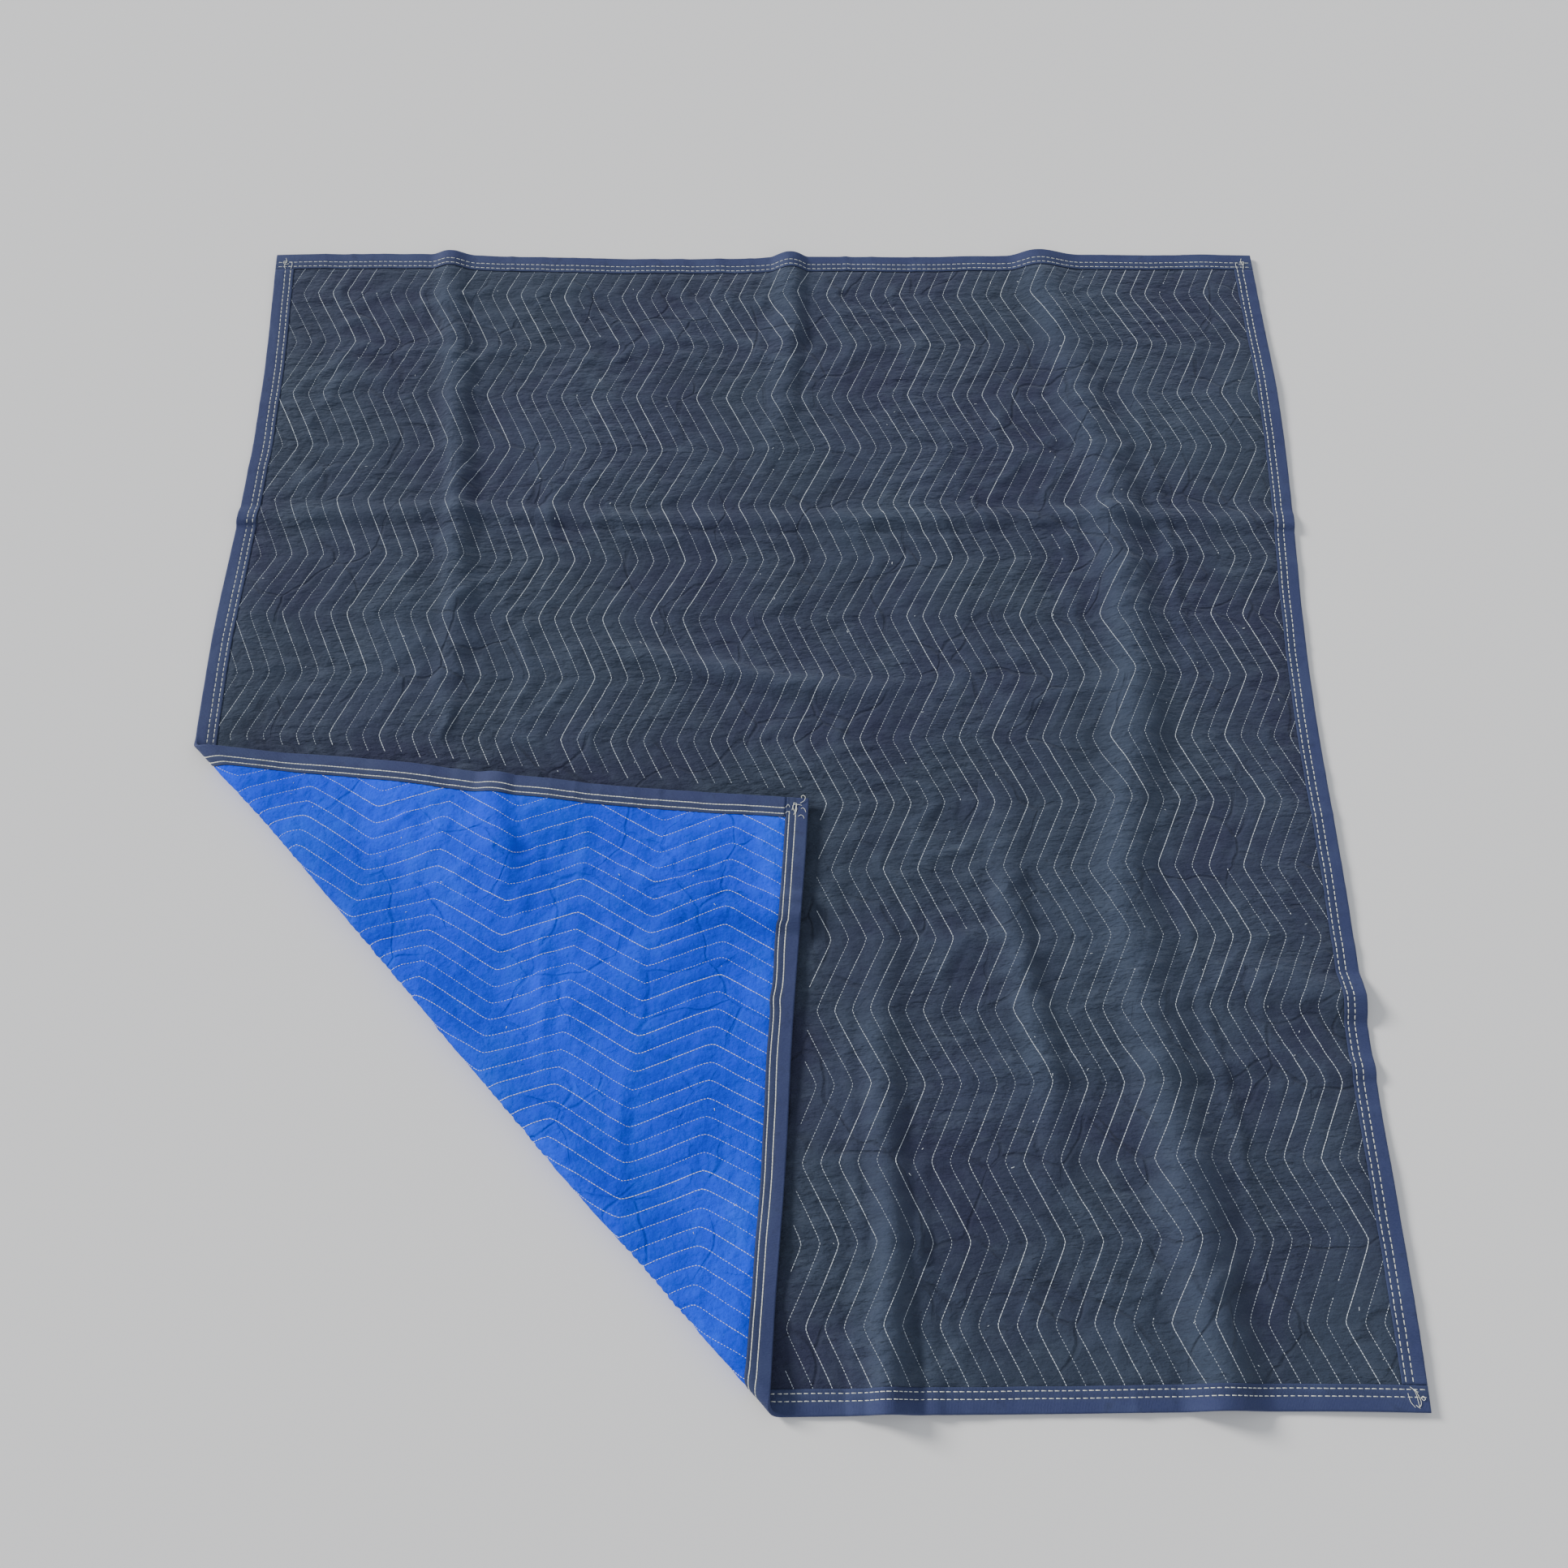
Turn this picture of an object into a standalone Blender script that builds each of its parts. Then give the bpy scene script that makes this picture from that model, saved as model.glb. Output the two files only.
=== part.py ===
"""A quilted moving blanket, laid out flat with its lower left corner turned back.

Every piece is first made flat, in the cloth's own sizes: u runs across the quilting lines, v runs along
them, and w goes up through the cloth from its middle. The laid-out shape, with its turned corner and its
standing folds, is a coarse net of triangles. Each piece is cut along the lines where that net bends and is
then carried onto it, so pieces that lie against each other stay the same distance apart everywhere.
"""

import math

import bmesh
import bpy
import numpy as np
from mathutils import Vector
from mathutils.geometry import delaunay_2d_cdt

# ---- Driving sizes, in metres ----

WIDTH = 1.83  # of the cloth, across the quilting lines
LENGTH = 2.03  # of the cloth, along them
GAP = 0.0003  # between pieces that lie against each other
RIM_GAP = 0.0009  # from the panels' cut edges to the tape that is folded round them

SEAM_THICKNESS = 0.0017  # of one panel at a line of stitching, and under the binding
CREST_THICKNESS = 0.0030  # of one panel halfway between two lines

LINE_PITCH = 0.027  # from one zigzag line of stitching to the next
ZIGZAG_PERIOD = 0.228  # from one corner of a zigzag to the next on the same side
ZIGZAG_WIDTH = 0.050  # from the corners on one side to those on the other

TAPE_THICKNESS = 0.0009
TAPE_WIDTH = 0.034  # of the binding on each side of the cloth
TAPE_CHAMFER = 0.0009  # on its outer corners, where it turns round the cloth's edge
FLAT_RIM = 0.036  # the panels are flat this far in, under the binding
QUILTED_FROM = 0.041  # and quilted from here on

FOLD_ON_HEM = 0.92  # from the turned corner to the fold, along the bottom hem
FOLD_ON_SIDE = 1.00  # and along the left edge
ROLL_RADIUS = 0.013  # of the cloth's middle where it turns over
ROLL_OVERTURN = math.radians(12)  # past half a turn, so that the turned layer comes down again
EASE_RADIUS = 0.15  # where the turned layer levels out
FLAP_RISE = 0.00845  # from the middle of the lower layer to that of the turned one

# ---- Standing folds, in the flat cloth's sizes ----

HEM = QUILTED_FROM
TOP = LENGTH - QUILTED_FROM
LEFT = QUILTED_FROM
RIGHT = WIDTH - QUILTED_FROM

# The section of a standing fold: how far across as a share of its width, and how high as a share of its
# height.
BROAD = ((-1.0, 0.0), (-0.55, 0.36), (-0.18, 0.96), (0.18, 0.96), (0.55, 0.36), (1.0, 0.0))
NARROW = ((-1.0, 0.0), (-0.22, 0.96), (0.22, 0.96), (1.0, 0.0))

# Each fold runs along u or v. Its rows hold how far along it is, where its crest is, and how high.
# A fold with a row at the hem, the top, the left or the right runs out through that edge.
STANDING_FOLDS = (
    # runs along, section, width before the crest, width after it, rows of (along, crest, height)
    ("v", BROAD, 0.060, 0.085, (
        (HEM, 1.545, 0.030), (0.35, 1.520, 0.026), (0.75, 1.475, 0.020),
        (1.15, 1.545, 0.024), (1.55, 1.500, 0.022), (TOP, 1.420, 0.017))),
    ("v", BROAD, 0.045, 0.055, (
        (HEM, 1.085, 0.028), (0.28, 1.100, 0.024), (0.55, 1.085, 0.015), (0.78, 1.110, 0.0))),
    ("v", NARROW, 0.030, 0.040, (
        (0.30, 1.345, 0.0), (0.48, 1.335, 0.014), (0.72, 1.300, 0.016), (0.95, 1.310, 0.0))),
    ("v", BROAD, 0.040, 0.050, (
        (1.06, 0.420, 0.0), (1.25, 0.400, 0.015), (1.60, 0.360, 0.017), (TOP, 0.330, 0.012))),
    ("v", NARROW, 0.040, 0.030, ((1.58, 0.920, 0.0), (1.74, 0.950, 0.012), (TOP, 0.970, 0.014))),
    ("u", NARROW, 0.030, 0.030, (
        (0.62, 1.200, 0.0), (0.78, 1.170, 0.013), (0.98, 1.120, 0.015), (1.20, 1.100, 0.0))),
    ("u", NARROW, 0.040, 0.045, ((1.62, 0.620, 0.0), (1.71, 0.600, 0.012), (RIGHT, 0.580, 0.016))),
    ("v", NARROW, 0.045, 0.035, ((HEM, 0.200, 0.012), (0.18, 0.190, 0.011), (0.36, 0.160, 0.0))),
    ("u", NARROW, 0.030, 0.040, ((LEFT, 0.500, 0.010), (0.15, 0.470, 0.010), (0.27, 0.440, 0.0))),
)
OVER_EDGE = 0.005  # how far the net reaches past the cloth's edges

# ---- Waves that the whole cloth lies in, so that no edge is quite straight ----

WAVES = (
    # which way it shifts the cloth, how far, its length, its phase
    ("x", 0.007, 1.45, 0.6),
    ("x", 0.003, 0.85, 2.0),
    ("y", 0.006, 1.25, 0.3),
    ("y", 0.003, 0.90, 1.1),
)

# ---- How finely the net is made ----

ROLL_STEPS = 8
EASE_STEPS = 2
LINE_PARTS = 5  # of each line along the turned corner
EDGE_STEP = 0.15  # along the cloth's edges where they are flat
INNER_STEP = 0.30  # over the flat middle
CLEAR_OF_FOLDS = 0.02  # for the net's other points
HALVINGS = 16  # in finding where a line goes out of sight
WELD = 1e-4  # points of the net that are closer than this are one
LEAST_BEND = 0.0012  # how far the net's corners are off their neighbours' planes where it counts as bent

# ---- Worked out from these ----

HALF_GAP = GAP / 2
TAPE_INSIDE = HALF_GAP + SEAM_THICKNESS + GAP  # from the cloth's middle to the tape's inner face
TAPE_OUTSIDE = TAPE_INSIDE + TAPE_THICKNESS
TAPE_EDGE = RIM_GAP + TAPE_THICKNESS  # from the cloth's edge to the tape's outer face
PRESSED_THICKNESS = TAPE_OUTSIDE - HALF_GAP  # of the blue panel on the floor, level with the tape
ROLL_LENGTH = ROLL_RADIUS * (math.pi + ROLL_OVERTURN)
EASE_LENGTH = EASE_RADIUS * ROLL_OVERTURN
EASE_DROP = EASE_RADIUS * (1 - math.cos(ROLL_OVERTURN))
ROLL_DROP = ROLL_RADIUS * (1 + math.cos(ROLL_OVERTURN)) - EASE_DROP - FLAP_RISE
SLOPE_LENGTH = ROLL_DROP / math.sin(ROLL_OVERTURN)
ROLL_PIECES = (
    # length, bend
    (ROLL_LENGTH, 1 / ROLL_RADIUS),
    (SLOPE_LENGTH, 0.0),
    (EASE_LENGTH, -1 / EASE_RADIUS),
)
TURNED_LENGTH = ROLL_LENGTH + SLOPE_LENGTH + EASE_LENGTH
HALF_ROLL = ROLL_RADIUS * math.pi / 2

FOLD_SPAN = math.hypot(FOLD_ON_HEM, FOLD_ON_SIDE)
FOLD_START = Vector((0.0, FOLD_ON_SIDE))
ALONG_FOLD = Vector((FOLD_ON_HEM, -FOLD_ON_SIDE)) / FOLD_SPAN
TOWARD_CORNER = Vector((-FOLD_ON_SIDE, -FOLD_ON_HEM)) / FOLD_SPAN


# ---- The laid-out shape ----


def run_past_fold(u, v):
    """The length of cloth from the start of the roll to this point, less than 0 on the lower layer."""
    return (Vector((u, v)) - FOLD_START).dot(TOWARD_CORNER) + HALF_ROLL


def roll_section(run):
    """How far across the fold the cloth's middle has come after this run, how high it is, and its slope."""
    across, height, slope = min(run, 0.0), 0.0, 0.0
    left = max(run, 0.0)
    for length, bend in ROLL_PIECES:
        part = min(left, length)
        left -= part
        if bend:
            turned = slope + part * bend
            across += (math.sin(turned) - math.sin(slope)) / bend
            height += (math.cos(slope) - math.cos(turned)) / bend
            slope = turned
        else:
            across += part * math.cos(slope)
            height += part * math.sin(slope)
    return across + left * math.cos(slope), height + left * math.sin(slope), slope


def fold_height(u, v):
    """How high the standing folds lift this point. Near the cloth's edges they run straight out."""
    u = min(max(u, LEFT), RIGHT)
    v = min(max(v, HEM), TOP)
    height = 0.0
    for runs_along, section, before, after, rows in STANDING_FOLDS:
        along, across = (u, v) if runs_along == "u" else (v, u)
        places, crests, heights = zip(*rows)
        if places[0] <= along <= places[-1]:
            offset = across - np.interp(along, places, crests)
            offset /= before if offset < 0 else after
            height += np.interp(along, places, heights) * np.interp(offset, *zip(*section))
    return height


def laid(u, v):
    """Where this point of the cloth's middle lies, and which way the cloth's w goes there."""
    across, height, slope = roll_section(run_past_fold(u, v))
    along = (Vector((u, v)) - FOLD_START).dot(ALONG_FOLD)
    plan = FOLD_START + TOWARD_CORNER * (across - HALF_ROLL) + ALONG_FOLD * along
    shift = {"x": 0.0, "y": 0.0}
    for way, size, length, phase in WAVES:
        place = plan.y if way == "x" else plan.x
        shift[way] += size * math.sin(math.tau * place / length + phase)
    middle = (plan.x + shift["x"], plan.y + shift["y"], TAPE_OUTSIDE + height + fold_height(u, v))
    upward = (*(-math.sin(slope) * TOWARD_CORNER), math.cos(slope))
    return middle, upward


# ---- The net ----


def triangulate(lines):
    """Triangles that have all these lines of flat points among their edges."""
    points, edges = [], []
    for line in lines:
        edges += [(len(points) + step, len(points) + step + 1) for step in range(len(line) - 1)]
        points += [Vector(point) for point in line]
    corners, _, triangles, *_ = delaunay_2d_cdt(points, edges, [], 0, WELD)
    return np.array([tuple(corner) for corner in corners]), np.array(triangles)


def standing_fold_lines():
    """The lines along each standing fold, run out past the cloth's edges."""
    for runs_along, section, before, after, rows in STANDING_FOLDS:
        first, last = rows[0], rows[-1]
        far_edge = LENGTH if runs_along == "v" else WIDTH
        if first[0] == HEM:
            rows = ((-OVER_EDGE, *first[1:]), *rows)
        if last[0] == far_edge - QUILTED_FROM:
            rows = (*rows, (far_edge + OVER_EDGE, *last[1:]))
        for offset, _ in section:
            aside = offset * (before if offset < 0 else after)
            line = [(along, crest + aside) for along, crest, _ in rows]
            yield [(across, along) for along, across in line] if runs_along == "v" else line


def roll_runs():
    """How far along the cloth each line of the turned corner is."""
    for step in range(ROLL_STEPS + 1):
        yield ROLL_LENGTH * step / ROLL_STEPS
    for step in range(EASE_STEPS + 1):
        yield ROLL_LENGTH + SLOPE_LENGTH + EASE_LENGTH * step / EASE_STEPS


def roll_lines():
    """The lines along the turned corner where the net bends."""
    for run in roll_runs():
        line_start = FOLD_START + TOWARD_CORNER * (run - HALF_ROLL)
        first = (-OVER_EDGE - line_start.x) / ALONG_FOLD.x
        last = (-OVER_EDGE - line_start.y) / ALONG_FOLD.y
        alongs = np.linspace(first, last, LINE_PARTS + 1)
        yield [tuple(line_start + ALONG_FOLD * along) for along in alongs]


def is_clear(u, v):
    """Whether a point of the flat cloth is clear of the standing folds and the turned corner."""
    sides = (-CLEAR_OF_FOLDS, 0.0, CLEAR_OF_FOLDS)
    lift = max(fold_height(u + right, v + up) for right in sides for up in sides)
    return lift == 0.0 and not -CLEAR_OF_FOLDS < run_past_fold(u, v) < TURNED_LENGTH + CLEAR_OF_FOLDS


def edge_lines():
    """Short lines over the cloth's edges, where these are flat."""
    for side, low, high in (("v", -OVER_EDGE, HEM), ("v", TOP, LENGTH + OVER_EDGE),
                            ("u", -OVER_EDGE, LEFT), ("u", RIGHT, WIDTH + OVER_EDGE)):
        for place in np.arange(EDGE_STEP, (WIDTH if side == "v" else LENGTH) - QUILTED_FROM, EDGE_STEP):
            line = [(place, low), (place, high)] if side == "v" else [(low, place), (high, place)]
            if all(is_clear(*point) for point in line):
                yield line


def inner_points():
    """Points over the flat middle."""
    for u in np.arange(INNER_STEP, WIDTH, INNER_STEP):
        for v in np.arange(INNER_STEP, LENGTH, INNER_STEP):
            if is_clear(u, v):
                yield [(u, v)]


FIRST_LINES = [*edge_lines(), *standing_fold_lines(), *roll_lines()]
NET_ENDS = [[(u, v)] for u in (-OVER_EDGE, WIDTH + OVER_EDGE) for v in (-OVER_EDGE, LENGTH + OVER_EDGE)]
NET_FLAT, NET_TRIANGLES = triangulate([*FIRST_LINES, *NET_ENDS, *inner_points()])
NET_MIDDLE, NET_UPWARD = (np.array(values) for values in zip(*(laid(*point) for point in NET_FLAT)))


def slanting_lines():
    """The net's other edges where it is bent, such as at the ends of the standing folds."""
    opposite = {}
    for triangle in NET_TRIANGLES:
        for turn in range(3):
            start, end, third = np.roll(triangle, turn)
            opposite.setdefault(frozenset((start, end)), []).append(third)
    for edge, thirds in opposite.items():
        if len(thirds) == 2:
            start, end = edge
            base, side, other, far = (NET_MIDDLE[corner] for corner in (start, end, *thirds))
            normal = np.cross(side - base, other - base)
            if abs((far - base) @ normal) > LEAST_BEND * np.linalg.norm(normal):
                yield [tuple(NET_FLAT[start]), tuple(NET_FLAT[end])]


BENDING_LINES = [*FIRST_LINES, *slanting_lines()]


def lay_out(bm):
    """Carries a piece made in the flat cloth's sizes onto the net."""
    flat = np.array([tuple(vert.co) for vert in bm.verts])
    first, second, third = (NET_FLAT[NET_TRIANGLES[:, corner]] for corner in range(3))
    side, other = second - first, third - first
    area = side[:, 0] * other[:, 1] - side[:, 1] * other[:, 0]
    for vert, (u, v, w) in zip(bm.verts, flat):
        way = np.array((u, v)) - first
        shares = np.empty((len(area), 3))
        shares[:, 1] = (way[:, 0] * other[:, 1] - way[:, 1] * other[:, 0]) / area
        shares[:, 2] = (side[:, 0] * way[:, 1] - side[:, 1] * way[:, 0]) / area
        shares[:, 0] = 1 - shares[:, 1] - shares[:, 2]
        inside = shares.min(axis=1).argmax()
        corners = NET_TRIANGLES[inside]
        vert.co = shares[inside] @ (NET_MIDDLE[corners] + w * NET_UPWARD[corners])


# ---- The quilted panels ----


def zigzag(v):
    """How far right of their middles the quilting lines are here."""
    return ZIGZAG_WIDTH * (abs(2 * (v / ZIGZAG_PERIOD % 1) - 1) - 0.5)


def puffed_thickness(u, v):
    """A panel's thickness between the quilting lines."""
    share = (u - zigzag(v)) / LINE_PITCH % 1
    return SEAM_THICKNESS + (CREST_THICKNESS - SEAM_THICKNESS) * (1 - abs(2 * share - 1))


def in_quilted_part(u, v):
    return LEFT - WELD < u < RIGHT + WELD and HEM - WELD < v < TOP + WELD


def shows_navy(u, v):
    """Whether the navy panel faces up here, with nothing on it."""
    run = run_past_fold(u, v)
    if run > -HALF_ROLL or not in_quilted_part(u, v):
        return False
    mirrored = Vector((u, v)) - 2 * (run - HALF_ROLL) * TOWARD_CORNER
    return min(mirrored) < QUILTED_FROM


def shows_blue(u, v):
    """Whether the blue panel faces up here, past the roll."""
    return in_quilted_part(u, v) and run_past_fold(u, v) > TURNED_LENGTH


def cut_to(line, shows):
    """The stretches of a line that show, each of them ending where it goes out of sight."""
    stretch = []
    for start, end in zip(line, line[1:]):
        if shows(*start):
            stretch = stretch or [start]
        if shows(*start) != shows(*end):
            inside, outside = (start, end) if shows(*start) else (end, start)
            for _ in range(HALVINGS):
                middle = tuple((a + b) / 2 for a, b in zip(inside, outside))
                inside, outside = (middle, outside) if shows(*middle) else (inside, middle)
            stretch.append(inside)
        if shows(*end):
            stretch.append(end)
        elif stretch:
            yield stretch
            stretch = []
    if stretch:
        yield stretch


def quilting_lines(shows):
    """The lines of stitching, and the crests halfway between them, where they show."""
    corners = np.arange(0.0, LENGTH, ZIGZAG_PERIOD / 2)
    places = [HEM, *(v for v in corners if HEM < v < TOP), TOP]
    spacing = LINE_PITCH / 2
    beyond = math.ceil(ZIGZAG_WIDTH / spacing)
    for number in range(-beyond, math.ceil(WIDTH / spacing) + beyond):
        yield from cut_to([(number * spacing + zigzag(v), v) for v in places], shows)


def rectangle(inset):
    """The cloth's outline, this far in."""
    left, right, low, high = inset, WIDTH - inset, inset, LENGTH - inset
    return [(left, low), (right, low), (right, high), (left, high), (left, low)]


def add_face(bm, lines, height):
    """Adds one face of a panel, and returns its corners by their flat places."""
    flat, triangles = triangulate([rectangle(0), *BENDING_LINES, *lines])
    middles = flat[triangles].mean(axis=1)
    on_cloth = ((middles > 0) & (middles < (WIDTH, LENGTH))).all(axis=1)
    verts = {}
    for triangle in triangles[on_cloth]:
        for corner in triangle:
            if corner not in verts:
                u, v = flat[corner]
                verts[corner] = bm.verts.new((u, v, height(u, v)))
        bm.faces.new([verts[corner] for corner in triangle])
    return verts.values()


def panel(up, outer_lines, thickness):
    """A panel above the cloth's middle if up is 1, or below it if up is -1."""
    bm = bmesh.new()
    add_face(bm, [], lambda u, v: up * HALF_GAP)
    inner_rim = [edge for edge in bm.edges if edge.is_boundary]
    add_face(bm, outer_lines, lambda u, v: up * (HALF_GAP + thickness(u, v)))
    outer_rim = [edge for edge in bm.edges if edge.is_boundary and edge not in inner_rim]
    bmesh.ops.bridge_loops(bm, edges=inner_rim + outer_rim)
    bmesh.ops.recalc_face_normals(bm, faces=bm.faces)
    return bm


def navy_thickness(u, v):
    return puffed_thickness(u, v) if shows_navy(u, v) else SEAM_THICKNESS


def blue_thickness(u, v):
    if not in_quilted_part(u, v):
        return SEAM_THICKNESS
    return puffed_thickness(u, v) if shows_blue(u, v) else PRESSED_THICKNESS


def face_navy():
    lines = [rectangle(FLAT_RIM), rectangle(QUILTED_FROM), *quilting_lines(shows_navy)]
    return panel(1, lines, navy_thickness)


def back_blue():
    lines = [rectangle(FLAT_RIM), rectangle(QUILTED_FROM), *quilting_lines(shows_blue)]
    return panel(-1, lines, blue_thickness)


# ---- The binding ----


# The tape's section: how far in from the cloth's edge, and how high over the cloth's middle.
TAPE_SECTION = (
    (TAPE_WIDTH, TAPE_INSIDE),
    (TAPE_WIDTH, TAPE_OUTSIDE),
    (TAPE_CHAMFER - TAPE_EDGE, TAPE_OUTSIDE),
    (-TAPE_EDGE, TAPE_OUTSIDE - TAPE_CHAMFER),
    (-TAPE_EDGE, TAPE_CHAMFER - TAPE_OUTSIDE),
    (TAPE_CHAMFER - TAPE_EDGE, -TAPE_OUTSIDE),
    (TAPE_WIDTH, -TAPE_OUTSIDE),
    (TAPE_WIDTH, -TAPE_INSIDE),
    (-RIM_GAP, -TAPE_INSIDE),
    (-RIM_GAP, TAPE_INSIDE),
)


def cut_where_it_bends(bm, runs_along, edge_place):
    """Cuts a strip along one edge of the cloth by every line of the net that crosses that edge."""
    across = 1 if runs_along == "u" else 0
    for line in BENDING_LINES:
        for start, end in zip(line, line[1:]):
            if (start[across] - edge_place) * (end[across] - edge_place) < 0:
                normal = (end[1] - start[1], start[0] - end[0], 0.0)
                cut = [*bm.verts, *bm.edges, *bm.faces]
                bmesh.ops.bisect_plane(bm, geom=cut, dist=WELD, plane_co=(*start, 0.0), plane_no=normal)


def binding(runs_along, edge_place, inward, first, last):
    """The tape folded round one edge of the cloth, from first to last along it."""
    bm = bmesh.new()
    ends = []
    for along in (first, last):
        ring = []
        for inset, height in TAPE_SECTION:
            across = edge_place + inward * inset
            u, v = (along, across) if runs_along == "u" else (across, along)
            ring.append(bm.verts.new((u, v, height)))
        ends.append(ring)
    for this, following in zip(range(len(TAPE_SECTION)), np.roll(range(len(TAPE_SECTION)), -1)):
        bm.faces.new((ends[0][this], ends[0][following], ends[1][following], ends[1][this]))
    bm.faces.new(ends[0])
    bm.faces.new(ends[1])
    cut_where_it_bends(bm, runs_along, edge_place)
    bmesh.ops.recalc_face_normals(bm, faces=bm.faces)
    return bm


SIDE_TAPE_FIRST = TAPE_WIDTH + GAP
SIDE_TAPE_LAST = LENGTH - TAPE_WIDTH - GAP

# ---- The pieces ----

NAVY = ((0.050, 0.064, 0.095), 0.95)
BLUE = ((0.030, 0.150, 0.650), 0.92)
TAPE = ((0.036, 0.062, 0.165), 0.85)
SHARP_ANGLE = math.radians(30)

PIECES = (
    # name, its flat shape, colour and roughness
    ("face_navy", face_navy(), NAVY),
    ("back_blue", back_blue(), BLUE),
    ("binding_bottom", binding("u", 0.0, 1, -TAPE_EDGE, WIDTH + TAPE_EDGE), TAPE),
    ("binding_top", binding("u", LENGTH, -1, -TAPE_EDGE, WIDTH + TAPE_EDGE), TAPE),
    ("binding_left", binding("v", 0.0, 1, SIDE_TAPE_FIRST, SIDE_TAPE_LAST), TAPE),
    ("binding_right", binding("v", WIDTH, -1, SIDE_TAPE_FIRST, SIDE_TAPE_LAST), TAPE),
)


def add_object(name, bm, finish):
    colour, roughness = finish
    mesh = bpy.data.meshes.new(name)
    bm.to_mesh(mesh)
    bm.free()
    material = bpy.data.materials.new(name)
    material.use_nodes = True
    shader = material.node_tree.nodes["Principled BSDF"]
    shader.inputs["Base Color"].default_value = (*colour, 1.0)
    shader.inputs["Roughness"].default_value = roughness
    shader.inputs["Metallic"].default_value = 0.0
    mesh.materials.append(material)
    mesh.shade_smooth()
    mesh.set_sharp_from_angle(angle=SHARP_ANGLE)
    bpy.context.collection.objects.link(bpy.data.objects.new(name, mesh))


for old in list(bpy.data.objects):
    bpy.data.objects.remove(old, do_unlink=True)

for _, bm, _ in PIECES:
    lay_out(bm)

# The blanket stands with the middle of its bounding box over the origin.
corners = np.array([tuple(vert.co) for _, bm, _ in PIECES for vert in bm.verts])
centre = (corners.min(axis=0) + corners.max(axis=0)) / 2
for name, bm, finish in PIECES:
    bmesh.ops.translate(bm, vec=(-centre[0], -centre[1], 0.0), verts=bm.verts)
    add_object(name, bm, finish)
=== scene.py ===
import math

import bmesh
import bpy
import numpy as np
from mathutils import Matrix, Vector


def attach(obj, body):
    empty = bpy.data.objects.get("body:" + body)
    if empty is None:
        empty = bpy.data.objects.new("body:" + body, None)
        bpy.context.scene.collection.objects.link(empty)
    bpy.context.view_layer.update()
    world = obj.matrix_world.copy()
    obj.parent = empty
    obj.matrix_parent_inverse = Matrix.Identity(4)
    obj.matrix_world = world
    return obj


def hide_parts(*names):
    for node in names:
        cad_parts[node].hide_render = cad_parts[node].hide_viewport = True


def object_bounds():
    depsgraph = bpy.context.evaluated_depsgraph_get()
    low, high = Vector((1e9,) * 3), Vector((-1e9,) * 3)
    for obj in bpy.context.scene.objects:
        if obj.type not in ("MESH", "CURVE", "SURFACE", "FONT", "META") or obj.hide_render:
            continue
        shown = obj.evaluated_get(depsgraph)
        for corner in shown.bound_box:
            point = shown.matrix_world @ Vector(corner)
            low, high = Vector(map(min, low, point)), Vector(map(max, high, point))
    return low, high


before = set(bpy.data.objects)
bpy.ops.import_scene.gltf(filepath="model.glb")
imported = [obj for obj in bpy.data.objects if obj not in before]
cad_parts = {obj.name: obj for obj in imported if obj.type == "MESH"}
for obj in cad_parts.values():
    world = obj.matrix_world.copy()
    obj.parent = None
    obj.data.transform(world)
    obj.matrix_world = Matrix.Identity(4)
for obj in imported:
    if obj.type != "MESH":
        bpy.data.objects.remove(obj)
cad_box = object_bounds()

# ---- Navy face ----
# The upper cloth: nonwoven polyester, charcoal navy, fuzzed by use. It is quilted to the blue back through
# the filling in zigzag lines, and lies on the floor with its lower left corner turned back. Every piece is
# placed by the flat cloth's own sizes: u across the quilting lines, v along them, and w up through it.

WIDTH = 1.83
LENGTH = 2.03
HALF_GAP = 0.00015
SEAM_THICKNESS = 0.0017
CREST_THICKNESS = 0.0030
SEWN_DOWN = 0.0008  # of each face under the tape
TAPE_OUTSIDE = 0.00305  # from the cloth's middle to the outer face of the tape round its edges
TAPE_EDGE = 0.0018  # how far past the cloth's edge the tape's fold stands
TAPE_WIDTH = 0.034
LINE_PITCH = 0.027
ZIGZAG_PERIOD = 0.228
ZIGZAG_WIDTH = 0.050
ZIGZAG_ROUNDING = 0.992  # 1 is a sharp corner

FOLD_ON_HEM = 0.92
FOLD_ON_SIDE = 1.00
ROLL_RADIUS = 0.013
ROLL_UNEVENNESS = 0.16
ROLL_OVERTURN = math.radians(12)
EASE_RADIUS = 0.15
FLAP_RISE = 0.00845
TURNED_LENGTH = 0.142  # from the start of the roll to where the turned layer is level
HALF_ROLL = ROLL_RADIUS * math.pi / 2

FOLD_SPAN = math.hypot(FOLD_ON_HEM, FOLD_ON_SIDE)
ALONG_FOLD = np.array((FOLD_ON_HEM, -FOLD_ON_SIDE)) / FOLD_SPAN
TOWARD_CORNER = np.array((-FOLD_ON_SIDE, -FOLD_ON_HEM)) / FOLD_SPAN

EDGE = 0.041  # nearer the cloth's edges than this, the folds and creases run straight out
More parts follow.
